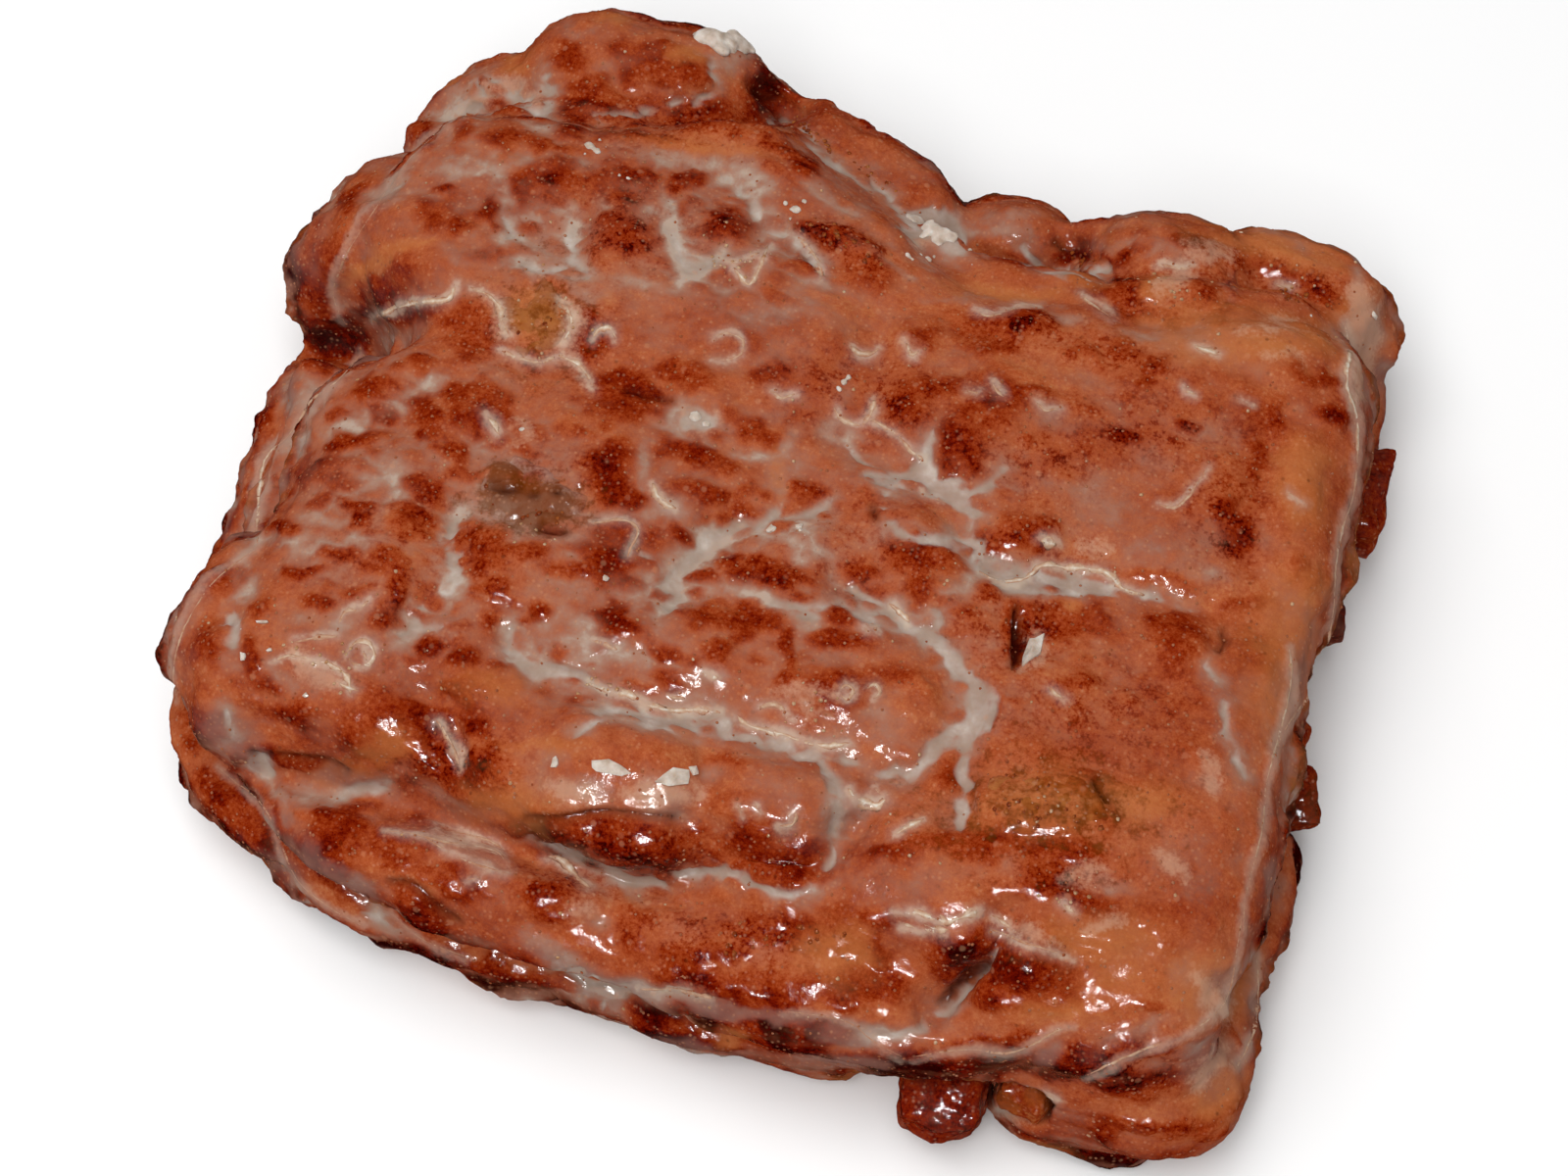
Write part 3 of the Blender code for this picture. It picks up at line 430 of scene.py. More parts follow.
toastsAndShades = (  # browner lumps of crust that stand out of the glaze, and darker ovals in recesses, the cavity and the gash as painted shade, as ovals like the films
    (285, 540, 22, 9, 0, 1), (436, 500, 29, 17, 33, 1.3), (422, 531, 24, 14, 35, 1.3),
    (369, 532, 14, 9, 0, 0.8), (338, 490, 24, 13, 0, 1), (320, 482, 34, 13, -10, 0.8),
    (308, 581, 24, 8, 5, 1.1), (399, 574, 24, 12, 15, 1.2), (404, 608, 16, 23, 0, 1),
    (343, 564, 18, 8, 0, 0.6), (323, 615, 18, 9, 0, 0.9), (271, 618, 11, 10, 0, 0.7),
    (384, 639, 17, 10, 0, 1.2), (436, 659, 15, 10, 0, 1.2), (476, 676, 20, 14, 0, 1.1),
    (501, 601, 18, 10, 0, 1.1), (552, 616, 11, 9, 0, 1), (501, 632, 12, 9, 0, 0.9),
    (490, 564, 14, 13, 0, 1.2), (530, 563, 32, 10, 0, 1.2), (566, 580, 15, 8, 0, 0.9),
    (258, 672, 10, 24, -15, 1.2), (272, 697, 8, 16, -30, 1), (308, 722, 17, 12, 0, 1.1),
    (290, 730, 26, 10, 20, 0.7), (430, 727, 38, 12, 0, 1.3), (395, 750, 40, 26, -20, 0.7),
    (480, 740, 22, 18, 30, 0.9), (468, 800, 42, 18, 15, 1.1), (430, 775, 14, 22, 0, 0.9),
    (228, 595, 24, 15, -30, 1.1), (207, 655, 22, 26, 15, 1), (434, 372, 32, 10, 0, 1.1),
    (477, 361, 14, 7, 0, 0.9), (546, 367, 15, 12, 0, 1.1), (383, 398, 28, 12, -20, 1),
    (360, 449, 32, 11, -12, 1), (434, 423, 20, 24, 0, 0.9), (465, 461, 15, 14, 0, 1),
    (416, 545, 20, 12, 15, 0.8), (621, 469, 16, 14, 0, 0.9), (622, 508, 18, 12, 0, 1),
    (787, 383, 24, 11, 0, 1), (698, 385, 29, 16, 15, 1.1), (772, 441, 24, 14, 25, 1.1),
    (713, 467, 46, 14, 12, 0.9), (624, 485, 22, 34, 0, 0.8), (825, 503, 20, 13, 0, 1.1),
    (728, 505, 46, 13, 0, 0.7), (746, 526, 29, 9, 0, 1.1), (778, 582, 54, 17, 15, 1.1),
    (750, 630, 54, 18, 12, 1), (859, 631, 24, 9, 0, 1), (854, 653, 30, 10, 0, 0.9),
    (905, 687, 34, 11, 8, 1.1), (627, 641, 27, 12, 30, 1), (579, 582, 30, 9, 8, 1), (684, 669, 24, 10, 30, 1),
    (732, 666, 14, 13, 0, 1), (806, 669, 8, 30, 0, 1), (803, 695, 11, 8, 0, 0.9), (681, 697, 28, 9, 25, 1.1),
    (1039, 545, 37, 24, 0, 1.6), (988, 468, 20, 30, 0, 0.9), (958, 573, 22, 14, 0, 1.1),
    (942, 604, 22, 14, 0, 1), (876, 586, 17, 13, 0, 1), (1006, 605, 18, 12, 0, 1),
    (1090, 634, 15, 11, 0, 0.9), (1200, 650, 32, 24, 10, 1.2), (1096, 696, 27, 11, 0, 0.8),
    (1144, 440, 12, 7, 0, 1), (615, 858, 88, 26, 5, 1.6), (695, 872, 60, 20, 0, 0.8),
    (800, 882, 54, 30, 0, 2.2), (765, 855, 50, 20, 0, 1.0), (560, 838, 44, 12, 4, 1.5),
    (564, 921, 26, 24, 0, 1.1), (638, 947, 24, 22, 0, 1.1), (722, 974, 44, 14, 0, 1.5),
    (800, 950, 100, 20, 5, 1.3), (770, 1007, 44, 9, 4, 1.4), (890, 1000, 40, 16, 10, 1.0),
    (671, 1033, 26, 20, 10, 1.6), (720, 1030, 30, 10, 10, 1.4), (800, 1052, 50, 16, 6, 1.9),
    (840, 1048, 26, 10, 0, 1.5), (700, 1055, 60, 8, 10, 1.2), (560, 1000, 40, 8, 14, 1.3),
    (440, 972, 44, 8, 16, 1.7), (340, 355, 44, 28, -10, 2.2), (345, 325, 40, 10, -12, 1.6),
    (825, 268, 22, 11, 50, 1.9), (857, 245, 52, 13, 22, 1.6), (885, 280, 34, 20, 30, 0.9),
    (742, 232, 34, 18, 0, 1.3), (712, 180, 13, 9, 0, 1.1), (824, 168, 20, 13, -10, 1.1),
    (633, 240, 36, 34, 20, 1), (640, 205, 26, 10, 0, 1.2), (690, 85, 34, 12, 10, 1.4),
    (645, 70, 14, 18, 0, 1), (600, 90, 20, 16, 0, 1.1), (502, 92, 18, 9, 20, 1.3), (520, 112, 26, 4, 12, 1.2),
    (590, 125, 24, 18, 0, 0.9), (545, 190, 12, 10, 0, 1), (450, 190, 14, 6, 0, 1), (470, 130, 12, 14, 20, 1),
    (520, 145, 26, 14, 0, 0.8), (475, 228, 14, 8, 0, 0.9), (500, 218, 12, 10, 0, 0.9),
    (440, 222, 20, 12, 0, 0.6), (400, 290, 30, 24, -20, 1), (420, 315, 40, 12, -10, 0.9),
    (360, 205, 22, 10, -40, 1.2), (338, 265, 8, 20, 25, 1.1), (310, 285, 10, 16, 20, 1.2),
    (535, 233, 12, 10, 0, 1.1), (1098, 259, 22, 10, 0, 1.9), (1048, 332, 36, 14, 0, 1.9),
    (1133, 264, 6, 10, -30, 1.3), (1160, 300, 28, 18, -10, 1.1), (1225, 310, 12, 16, 20, 1),
    (1195, 327, 22, 6, 0, 1), (1280, 270, 40, 12, 8, 1.1), (1320, 285, 30, 12, 15, 1.2),
    (1350, 305, 34, 8, 25, 1.3), (1262, 262, 16, 14, 0, 1), (1262, 232, 26, 8, 0, 1),
    (1178, 372, 14, 10, 30, 1.1), (1168, 392, 14, 10, 0, 1), (1211, 431, 18, 7, 10, 1.2),
    (1281, 470, 13, 22, 0, 1.1), (1303, 420, 9, 18, 0, 0.9), (1250, 518, 14, 12, 0, 1.2),
    (1262, 545, 18, 24, 0, 1), (1356, 424, 16, 16, 0, 0.9), (1275, 618, 30, 12, 0, 1),
    (1290, 665, 22, 18, 0, 0.7), (1040, 265, 20, 8, 20, 0.9), (1110, 364, 24, 8, 20, 1.1),
    (1155, 360, 20, 7, 20, 0.9), (1120, 300, 40, 8, 15, 0.7), (1345, 386, 24, 10, 5, 0.7),
    (940, 345, 22, 14, 0, 0.9), (1010, 355, 24, 10, 10, 0.9), (960, 395, 34, 12, 0, 0.8),
    (972, 450, 13, 20, 0, 1), (1048, 449, 8, 7, 0, 1.3), (925, 415, 20, 14, 0, 0.8),
    (1050, 400, 26, 9, 0, 0.8), (1146, 445, 20, 8, 0, 0.8), (965, 795, 14, 16, 0, 1.1),
    (1130, 820, 12, 18, 0, 1.4), (1070, 890, 34, 14, 30, 1), (1080, 912, 18, 10, 0, 1),
    (985, 965, 26, 11, -10, 1.5), (1030, 985, 24, 24, 0, 1.4), (1022, 1005, 14, 16, 0, 1.2),
    (1180, 1030, 22, 7, 15, 1.1), (960, 860, 40, 8, 0, 0.7), (905, 870, 30, 8, 0, 0.6),
    (1102, 1070, 12, 8, 0, 1.3), (1150, 1105, 44, 16, 10, 1.4), (1195, 1098, 18, 8, 0, 1.2),
    (1225, 1148, 40, 7, -25, 1.5), (1160, 1155, 50, 6, 5, 1.2), (1255, 1045, 6, 24, -20, 1),
    (1045, 870, 30, 9, 10, 0.9), (1000, 805, 18, 12, 0, 1), (1060, 835, 50, 22, 5, 0.8),
    (1075, 800, 24, 12, 0, 0.8), (745, 770, 20, 8, 0, 0.6), (330, 885, 12, 44, -42, 1.5),
    (358, 920, 12, 30, -42, 1.2), (430, 925, 22, 34, -40, 1.5), (450, 900, 34, 9, 35, 1),
    (470, 895, 34, 10, 28, 0.9), (243, 775, 10, 10, 0, 1.3), (205, 745, 20, 20, 0, 0.8),
    (215, 805, 12, 24, -30, 1.2), (250, 812, 16, 8, 30, 1), (335, 835, 14, 20, -30, 1.1),
    (365, 825, 26, 8, -35, 1), (505, 1000, 26, 10, 10, 0.8), (1340, 590, 10, 12, 0, 0.6),
    (1322, 575, 10, 14, 0, 0.7), (290, 771, 42, 8, 15, 1.7), (225, 815, 14, 30, -40, 1.7),
    (252, 802, 16, 9, 35, 1.2), (1038, 645, 15, 36, -8, 2.2), (722, 972, 40, 12, 2, 1.8),
    (778, 1008, 34, 8, 10, 1.7), (673, 1036, 34, 24, 20, 2.0), (795, 1056, 34, 20, 10, 2.2),
    (832, 1048, 12, 9, 0, 2.0), (862, 1078, 50, 8, 6, 2.0), (728, 1024, 22, 8, 10, 1.6),
    (898, 1075, 14, 8, 0, 1.8), (900, 975, 8, 30, 0, 0.9), (580, 60, 20, 14, 0, 0.9),
    (440, 90, 10, 30, 30, 0.9), (430, 140, 12, 16, 30, 1.1), (505, 260, 30, 8, 0, 0.7),
    (590, 190, 20, 10, 0, 0.8), (690, 190, 18, 10, 0, 0.9), (560, 150, 40, 8, 5, 0.9),
    (660, 140, 50, 8, 5, 0.9), (740, 130, 40, 8, 12, 1.0), (800, 150, 34, 10, 30, 1.1),
    (790, 86, 40, 24, 38, 2.3), (1150, 262, 24, 8, -30, 1.5), (1138, 300, 8, 26, 0, 1.5),
    (1172, 326, 32, 7, 8, 1.4), (1242, 324, 16, 8, -30, 1.4), (1256, 288, 7, 26, 0, 1.4),
    (1222, 251, 30, 7, 8, 1.5), (1300, 276, 50, 10, 10, 1.5), (1345, 296, 36, 10, 28, 1.6),
    (330, 262, 24, 50, 28, 1.0), (322, 300, 16, 30, 10, 1.4), (305, 290, 8, 30, 10, 1.6),
    (262, 440, 10, 50, 24, 1.1), (225, 530, 12, 50, 20, 1.1), (196, 620, 10, 40, 14, 1.1),
    (1060, 1084, 40, 8, -20, 1.2), (1010, 1060, 60, 6, -4, 1.0), (600, 1030, 50, 8, 16, 1.2),
    (500, 985, 50, 8, 22, 1.3), (1048, 988, 44, 26, 20, 2.0), (984, 960, 32, 13, -12, 2.2),
    (985, 985, 12, 24, 40, 1.8), (1150, 1100, 60, 16, 8, 1.8), (470, 705, 30, 10, 0, 1.0),
    (445, 745, 20, 34, -8, 1.6), (560, 845, 50, 10, 4, 1.5), (700, 118, 90, 6, 4, 1.5),
    (600, 110, 40, 10, 0, 1.4), (660, 60, 40, 24, 10, 1.3), (700, 72, 30, 14, 10, 1.6),
    (1118, 800, 40, 9, 10, 1.6), (1130, 835, 14, 20, 0, 1.6), (1010, 850, 50, 8, 0, 1.3),
    (1078, 905, 34, 12, 10, 1.6), (1180, 590, 60, 9, 8, 1.0), (1036, 984, 74, 40, 24, 2.4),
    (985, 975, 44, 22, -20, 2.2), (270, 850, 66, 26, 48, 1.7), (1070, 868, 54, 14, 10, 1.4),
    (1100, 915, 50, 12, 20, 1.3), (690, 1055, 40, 14, 10, 1.9), (800, 1050, 60, 20, 8, 2.1),
    (1020, 1010, 30, 16, -30, 1.8), (640, 112, 56, 18, 2, 1.8), (712, 114, 46, 18, 6, 1.7),
    (487, 337, 40, 28, 0, 1.3), (487, 562, 34, 26, 0, 1.2), (637, 187, 40, 26, 0, 1.3),
    (1087, 637, 44, 26, 0, 1.2), (1180, 1152, 80, 9, 4, 1.8), (1240, 1142, 34, 8, -35, 1.8),
    (640, 562, 46, 34, 0, 1.3), (930, 1085, 60, 18, 4, 2.4), (790, 1012, 56, 24, 6, 2.1),
    (862, 1010, 50, 22, 6, 1.5), (560, 187, 42, 30, 0, 1.6), (600, 345, 30, 24, 0, 1.3),
    (487, 412, 40, 30, 0, 1.5), (637, 405, 46, 28, 0, 1.6), (930, 565, 34, 22, 0, 1.5),
    (1012, 1086, 44, 16, 0, 1.4), (712, 1000, 50, 18, 8, 2.0), (337, 862, 50, 30, -40, 1.8),
    (1012, 412, 40, 26, 0, 1.5), (487, 790, 36, 28, 0, 1.5), (1010, 560, 20, 20, 0, 1.0),
    (1012, 862, 50, 16, 0, 1.5), (410, 862, 40, 26, 10, 1.3), (870, 935, 50, 14, 0, 1.0),
    (1012, 337, 44, 20, 5, 1.3), (787, 112, 40, 24, 30, 1.6), (1087, 1087, 40, 16, -10, 1.4),
    (1150, 1075, 40, 12, -10, 1.2), (862, 700, 40, 20, 0, 1.1), (1012, 720, 14, 26, 0, 1.1),
)
ambers = (  # crust fried less, or clear glaze over apple: amber
    (1092, 615, 12, 11, 0, 1), (857, 970, 48, 46, 0, 1.2), (397, 760, 40, 22, -20, 1),
    (383, 270, 34, 10, -35, 1.4), (415, 250, 40, 9, -5, 1.2), (795, 482, 10, 28, -5, 1),
    (1330, 500, 34, 60, 0, 1.2), (1335, 620, 24, 60, 10, 1), (1310, 345, 66, 30, 8, 1.2),
    (545, 325, 30, 32, 0, 1), (1140, 815, 80, 26, 0, 0.9), (1150, 960, 60, 34, 0, 0.8),
    (520, 55, 30, 18, 0, 0.6), (525, 72, 24, 14, 0, 0.7), (700, 60, 28, 14, 0, 1.2), (625, 22, 24, 10, 0, 1),
    (720, 150, 90, 14, 5, 0.8), (1180, 300, 26, 18, 0, 1.3), (1040, 300, 70, 12, 5, 1),
    (1100, 290, 40, 10, 5, 0.8), (1235, 1110, 40, 24, -35, 1.3), (1150, 1000, 60, 40, 0, 0.5),
    (520, 820, 80, 30, 5, 0.8), (500, 700, 60, 20, 0, 0.7), (750, 1054, 20, 12, 0, 1),
    (560, 760, 50, 14, 0, 0.8), (1085, 1030, 60, 20, 0, 0.6), (350, 790, 40, 14, 0, 0.7),
    (1066, 822, 90, 40, 4, 0.9), (548, 318, 40, 40, 0, 1.2), (1240, 1110, 44, 36, -35, 1.4),
    (1300, 252, 100, 24, 10, 0.8), (1120, 955, 80, 36, 0, 0.8), (1388, 340, 40, 60, 0, 1.4),
    (1312, 680, 50, 130, 4, 1.0), (1235, 1010, 70, 50, 0, 1.0), (1250, 345, 110, 34, 4, 1.2),
)
olives = (  # brown-green apple flesh close under the glaze
    (541, 512, 70, 34, 5, 1.5), (1066, 822, 90, 40, 4, 0.3), (515, 487, 22, 16, 0, 1.3),
    (548, 320, 32, 40, 0, 0.3),
)
shadedSlits = (  # slits, creases and folds, painted dark as shade: (u, v, half width)
    ((538, 831, 0.3), (560, 833, 0.8), (589, 832, 1), (628, 829, 0.8), (660, 831, 0.6), (690, 836, 0.3)),
    ((1006, 983, 0.5), (990, 993, 2.5), (974, 1008, 3), (962, 1024, 1.5)),
    ((889, 518, 1), (891, 524, 2), (894, 531, 1)), ((549, 535, 1), (561, 541, 2.5), (578, 544, 1)),
    ((503, 499, 0.5), (515, 501, 1.5), (528, 500, 0.5)), ((566, 503, 1), (571, 502, 1.5)),
    ((541, 505, 0.5), (546, 506, 1)), ((639, 401, 0.3), (662, 406, 0.5), (685, 408, 0.3)),
    ((775, 92, 1), (784, 100, 3), (795, 104, 2)), ((258, 765, 0.5), (268, 769, 1.5), (279, 767, 1)),
    ((286, 768, 0.3), (310, 772, 1), (336, 778, 1), (355, 788, 0.3)),
    ((1037, 622, 1), (1041, 636, 3), (1043, 650, 4), (1038, 666, 3), (1034, 680, 1)),
    ((398, 899, 0.5), (420, 899, 1), (440, 914, 1), (455, 930, 1), (470, 942, 0.5)),
    ((1247, 645, 1), (1250, 656, 2), (1244, 664, 1)), ((1078, 246, 1), (1090, 256, 2), (1104, 252, 1)),
    ((1116, 795, 1), (1122, 808, 2), (1131, 822, 1)),
)

webs = (  # where a web of thin glaze lies between small lumps of crust
    (420, 500, 260, 230, 0, 1.3), (700, 560, 330, 220, 10, 1.4), (640, 220, 330, 130, 20, 0.9),
    (1020, 620, 260, 160, 0, 0.7), (620, 650, 330, 120, 10, 1.2), (700, 900, 400, 110, 8, 0.3),
)

grits = (  # where dark grains of crust show between the glaze
    (1060, 470, 110, 60, 10, 0.8), (1180, 440, 150, 60, 8, 0.7), (1250, 530, 60, 90, 0, 0.9),
    (1060, 560, 80, 40, 0, 1.2), (1310, 280, 90, 30, 14, 1.3), (1196, 300, 80, 50, 0, 0.8),
    (760, 960, 160, 36, 6, 1.2), (560, 500, 90, 60, 0, 0.9), (1070, 830, 110, 60, 0, 1.0),
    (860, 250, 90, 30, 22, 1.1), (640, 240, 140, 80, 0, 0.7), (560, 330, 100, 80, 0, 0.8),
    (880, 400, 120, 70, 0, 0.8), (1030, 640, 90, 70, 0, 0.9), (1110, 720, 130, 80, 0, 0.7),
    (470, 780, 110, 50, 0, 0.8), (640, 870, 110, 40, 4, 0.9), (1080, 890, 100, 40, 0, 0.8),
    (600, 900, 120, 30, 10, 0.9), (860, 560, 140, 80, 0, 0.6), (420, 560, 160, 120, 0, 0.5),
    (1150, 1080, 120, 40, -10, 0.6), (700, 140, 160, 40, 8, 0.7), (1100, 350, 150, 30, 12, 1.0),
)

fibres = (  # stretched crust with fine streaks along it
    (1310, 350, 80, 46, 6, 1.3), (400, 280, 60, 50, -40, 0.8), (860, 245, 60, 26, 22, 1.4),
    (1170, 236, 120, 20, 10, 1.0), (700, 1030, 260, 40, 9, 0.9), (1325, 540, 34, 110, 4, 0.8),
    (270, 840, 60, 120, -35, 1.0), (770, 150, 120, 24, 10, 0.9),
)

swells = (  # humps and hollows of the dough: (u, v, half length, half width, turn, height in mm)
    (515, 487, 26, 21, 0, 1.0), (570, 500, 26, 20, 0, 0.6), (541, 535, 40, 14, 10, -0.4),
    (1097, 279, 40, 15, 0, 0.8), (1098, 257, 26, 12, 0, 0.5), (1046, 333, 40, 17, 0, 0.9),
    (1196, 290, 70, 44, 0, 1.2), (1108, 312, 44, 18, 15, 0.6), (857, 245, 60, 18, 22, 0.8),
    (630, 862, 90, 30, 3, 1.1), (790, 874, 74, 36, 0, 1.1), (860, 966, 66, 56, 0, 0.5),
    (985, 962, 46, 26, -10, 0.9), (1050, 985, 44, 34, 30, 0.8), (1066, 822, 84, 34, 4, 0.5),
    (1150, 1103, 60, 24, 5, 0.6), (434, 772, 74, 54, 0, -1.0), (456, 762, 12, 34, -8, 1.0),
    (484, 764, 12, 38, -15, 0.8), (1358, 426, 24, 22, 0, 0.5), (1358, 426, 12, 10, 0, -0.6),
    (634, 240, 44, 44, 20, 0.8), (744, 234, 42, 26, 0, 0.7), (690, 80, 60, 34, 10, 0.8),
    (600, 92, 36, 30, 0, 0.6), (1041, 652, 13, 42, 0, -1.5), (986, 1002, 46, 11, -43, -1.3),
    (345, 350, 40, 26, 0, -1.0), (785, 96, 34, 18, 35, -1.4), (610, 832, 100, 7, 0, -0.2),
    (1240, 655, 14, 14, 0, -0.4), (200, 650, 40, 90, 10, 0.7), (700, 645, 130, 26, 8, 0.5),
    (730, 585, 110, 24, 8, 0.4), (925, 540, 60, 40, 0, 0.5), (1036, 548, 56, 34, 0, 0.6),
    (1200, 650, 60, 40, 10, 0.6), (400, 560, 70, 60, 0, 0.4), (330, 640, 60, 46, 0, 0.4),
    (690, 500, 110, 40, 0, 0.4), (570, 660, 60, 40, 0, 0.4), (840, 700, 110, 40, 5, 0.4),
    (880, 815, 44, 24, 0, 0.6), (330, 885, 26, 70, -42, 0.7), (430, 925, 28, 50, -42, 0.7),
    (480, 872, 80, 24, 25, 0.6), (585, 915, 60, 34, 0, 0.5), (720, 955, 90, 26, 6, 0.5),
    (1130, 955, 60, 16, 8, 0.5), (1190, 890, 40, 30, 40, 0.5), (1330, 500, 30, 120, 0, 0.5),
    (670, 1035, 40, 22, 0, 0.6), (800, 1055, 70, 18, 6, 0.6), (480, 110, 40, 28, 0, -0.4),
    (600, 210, 8, 40, 0, -0.3), (360, 240, 24, 70, 25, 0.8),
)

marks = {
    "waver": 0.75,         # mm that an oval's outline wanders
    "strokeWaver": 0.40,   # mm that a stroke wanders
    "rimWaver": 0.25,      # mm that a rim wanders
    "slitWaver": 0.20,     # mm that a slit wanders
    "bumpHeight": 0.32,    # mm that a browner lump stands proud
    "cellHeight": 0.22,    # mm that the middle of each small lump stands proud
    "poolDepth": 0.30,     # mm that glaze in a hollow lies lower
    "poolFinger": 1.0,     # mm that its edge bends in between the small lumps
    "creamHeight": 0.06,   # mm that a thick run of glaze stands proud
    "rimHeight": 0.12,     # mm that the edge of the glaze sheet stands proud
    "fibreHeight": 0.12,   # mm, height of the streaks in stretched crust
    "slitDepth": 0.6,      # mm that a slit is cut in
    "madeUpTop": 0.35,     # mm, height of the wide lumps where the camera can't look
    "madeUpSide": 0.9,     # mm, more of the same on the hidden side walls
    "far": 9.0,            # mm, the distance that stands for no stroke near
}


def smoothStroke(stroke, steps=4):
    # a rounder line through the same points
    line = [stroke[0], *stroke, stroke[-1]]
    made = []
    for a, b, c, d in zip(line, line[1:], line[2:], line[3:]):
        for step in range(steps):
            t = step / steps
            made.append([
                0.5 * (2 * q + (r - p) * t + (2 * p - 5 * q + 4 * r - s) * t * t
                       + (3 * q - p - 3 * r + s) * t ** 3)
                for p, q, r, s in zip(a, b, c, d)])
    return np.array([*made, stroke[-1]], float)


def strokeGap(spots, strokes):
    # mm from each picture place to the edge of the nearest stroke, below zero inside it
    reach = marks["far"] * pixelsPerMm
    gap = np.full(len(spots), reach)
    for stroke in strokes:
        line = smoothStroke(stroke)
        low, high = line[:, :2].min(axis=0) - reach, line[:, :2].max(axis=0) + reach
        near = np.flatnonzero(np.all((spots > low) & (spots < high), axis=1))
        close = spots[near]
        best = gap[near]
        for start, end in zip(line, line[1:]):
            run = end[:2] - start[:2]
            share = np.clip((close - start[:2]) @ run / max(run @ run, 1e-9), 0, 1)
            away = np.hypot(*(close - start[:2] - share[:, None] * run).T)
            best = np.minimum(best, away - (start[2] + (end[2] - start[2]) * share))
        gap[near] = best
    return gap / pixelsPerMm


def inOval(spots, u, v, length, width, angle):
    # how far each picture place lies along and across an oval, as shares of its half length and half width
    away = spots - np.array((u, v))
    c, s = math.cos(math.radians(angle)), math.sin(math.radians(angle))
    return (away[:, 0] * c + away[:, 1] * s) / length, (away[:, 1] * c - away[:, 0] * s) / width


def ovalField(spots, ovals):
    # strength in the middle of each soft oval, falling to 0 at its rim and below 0 outside
    field = np.full(len(spots), -1.0)
    for *oval, strength in ovals:
        field = np.maximum(field, strength * (1 - np.hypot(*inOval(spots, *oval))))
    return field


def swellHeight(spots):
    # mm that the humps and hollows add up to
    total = np.zeros(len(spots))
    for *oval, height in swells:
        along, across = inOval(spots, *oval)
        total += height * np.clip(1 - along ** 2 - across ** 2, 0, 1) ** 1.5
    return total


print("stage: marks read")

# glazed crust: the whole skin of the dough

crust = {
    "voxel": 0.475,        # mm, how fine the skin is
    "triangles": 275000,   # of the seen and the far part together, the fewest where the camera can't look
    "thinning": 0.30,      # how much sooner the far side loses faces than the seen one
    "farSteps": ((0.55, 0.2), (0.75, 0.6), (0.95, 1.0)),    # share of far side, share of the thinning
    "farSpread": 25,       # rounds that even out the border between the seen and the far side
    "underside": 0.3,      # mm, the height below which the faces are fewest
    "tuck": 0.045,         # share of the width that the foot of the hidden side is drawn in
    "tuckHeight": 10.0,    # mm
    "smoothing": 8,        # rounds of smoothing over the faces of the CAD
    "lumps": 0.24,         # mm, height of the soft lumps between the marks
    "grain": 0.13,         # mm, height of the crumbly grain
    "cells": (4.2, 2.3, 3.0),    # mm, size of the small lumps of crust
    "cellTurn": 8.0,       # degrees that they lie round from the X axis
    "glazedOver": ("apple_top_left", "apple_top_front", "apple_slice_back"),
    "closing": 0.7,        # mm that the glaze reaches in to these
    "sunk": 0.5,           # mm that it stays below their tops
    "tone": 0.34,          # how brown the crust is between the marks, 0 to 1
    "browner": {           # added to that by each kind of mark and side; 'side' is painted shade on the side walls, 'edge' painted shade towards the silhouette, and 'burnt' is burnt lumps and, in recesses, painted shade
        "bare": 0.22, "burnt": 0.28, "wide": 0.14, "mid": 0.10, "side": 0.32, "edge": 0.16, "cell": 0.14,
        "fibre": 0.22},
    "glaze": 0.32,         # how much glaze lies over all of it, 0 to 1
    "thicker": {           # added to that
        "film": 0.38, "border": 0.24, "pool": 0.30, "web": 0.14, "side": 0.22, "fibre": 0.20},
    "thinner": {"bare": 0.34, "lumps": 0.14},    # taken off it
    "amberPaler": 0.14,    # taken off both where the crust is amber
    "seed": 7,
}


def makeSkin():
    made = mergedCopy("fritter_dough", "glazedCrust")
    rounding = made.modifiers.new("rounding", "SUBSURF")
    rounding.levels = rounding.render_levels = 1
    plainMesh(made)
    shape = bmesh.new()
    shape.from_mesh(made.data)
    for node in crust["glazedOver"]:    # glaze closes the gap around apple that lies in the top
        known = set(shape.verts)
        shape.from_mesh(frame["nodes"][node].data)
        fresh = [v for v in shape.verts if v not in known]
        middle = sum((v.co for v in fresh), Vector()) / len(fresh)
        for vertex in fresh:
            wider = vertex.co - middle
            wider.z = 0
            vertex.co += wider.normalized() * crust["closing"] * mm - Vector((0, 0, crust["sunk"] * mm))
        bmesh.ops.remove_doubles(shape, verts=fresh, dist=1e-7)
    shape.to_mesh(made.data)
    shape.free()
    return fusedMesh(made, crust["voxel"], crust["smoothing"])


def treeOf(mesh):
    # for casting rays at the mesh
    shape = bmesh.new()
    shape.from_mesh(mesh)
    tree = BVHTree.FromBMesh(shape)
    shape.free()
    return tree


def seenFromCamera(tree, places, normals):
    # 1 where the camera sees the surface, 0 where it can't
    toEye = np.array(eye) - places
    toEye /= np.linalg.norm(toEye, axis=1)[:, None]
    facing = np.sum(toEye * normals, axis=1)
    grazing, full = 0.02, 0.22    # how far a face turns to the camera when it starts to show and shows fully
    clear, reach = 0.4, 0.1       # mm that a ray starts above the face, and m that it goes
    seen = smoothStep(grazing, full, facing)
    for index in np.flatnonzero(facing > grazing):
        start = Vector(places[index] + normals[index] * clear * mm)
        if tree.ray_cast(start, Vector(toEye[index]), reach)[0] is not None:
            seen[index] = 0
    return seen


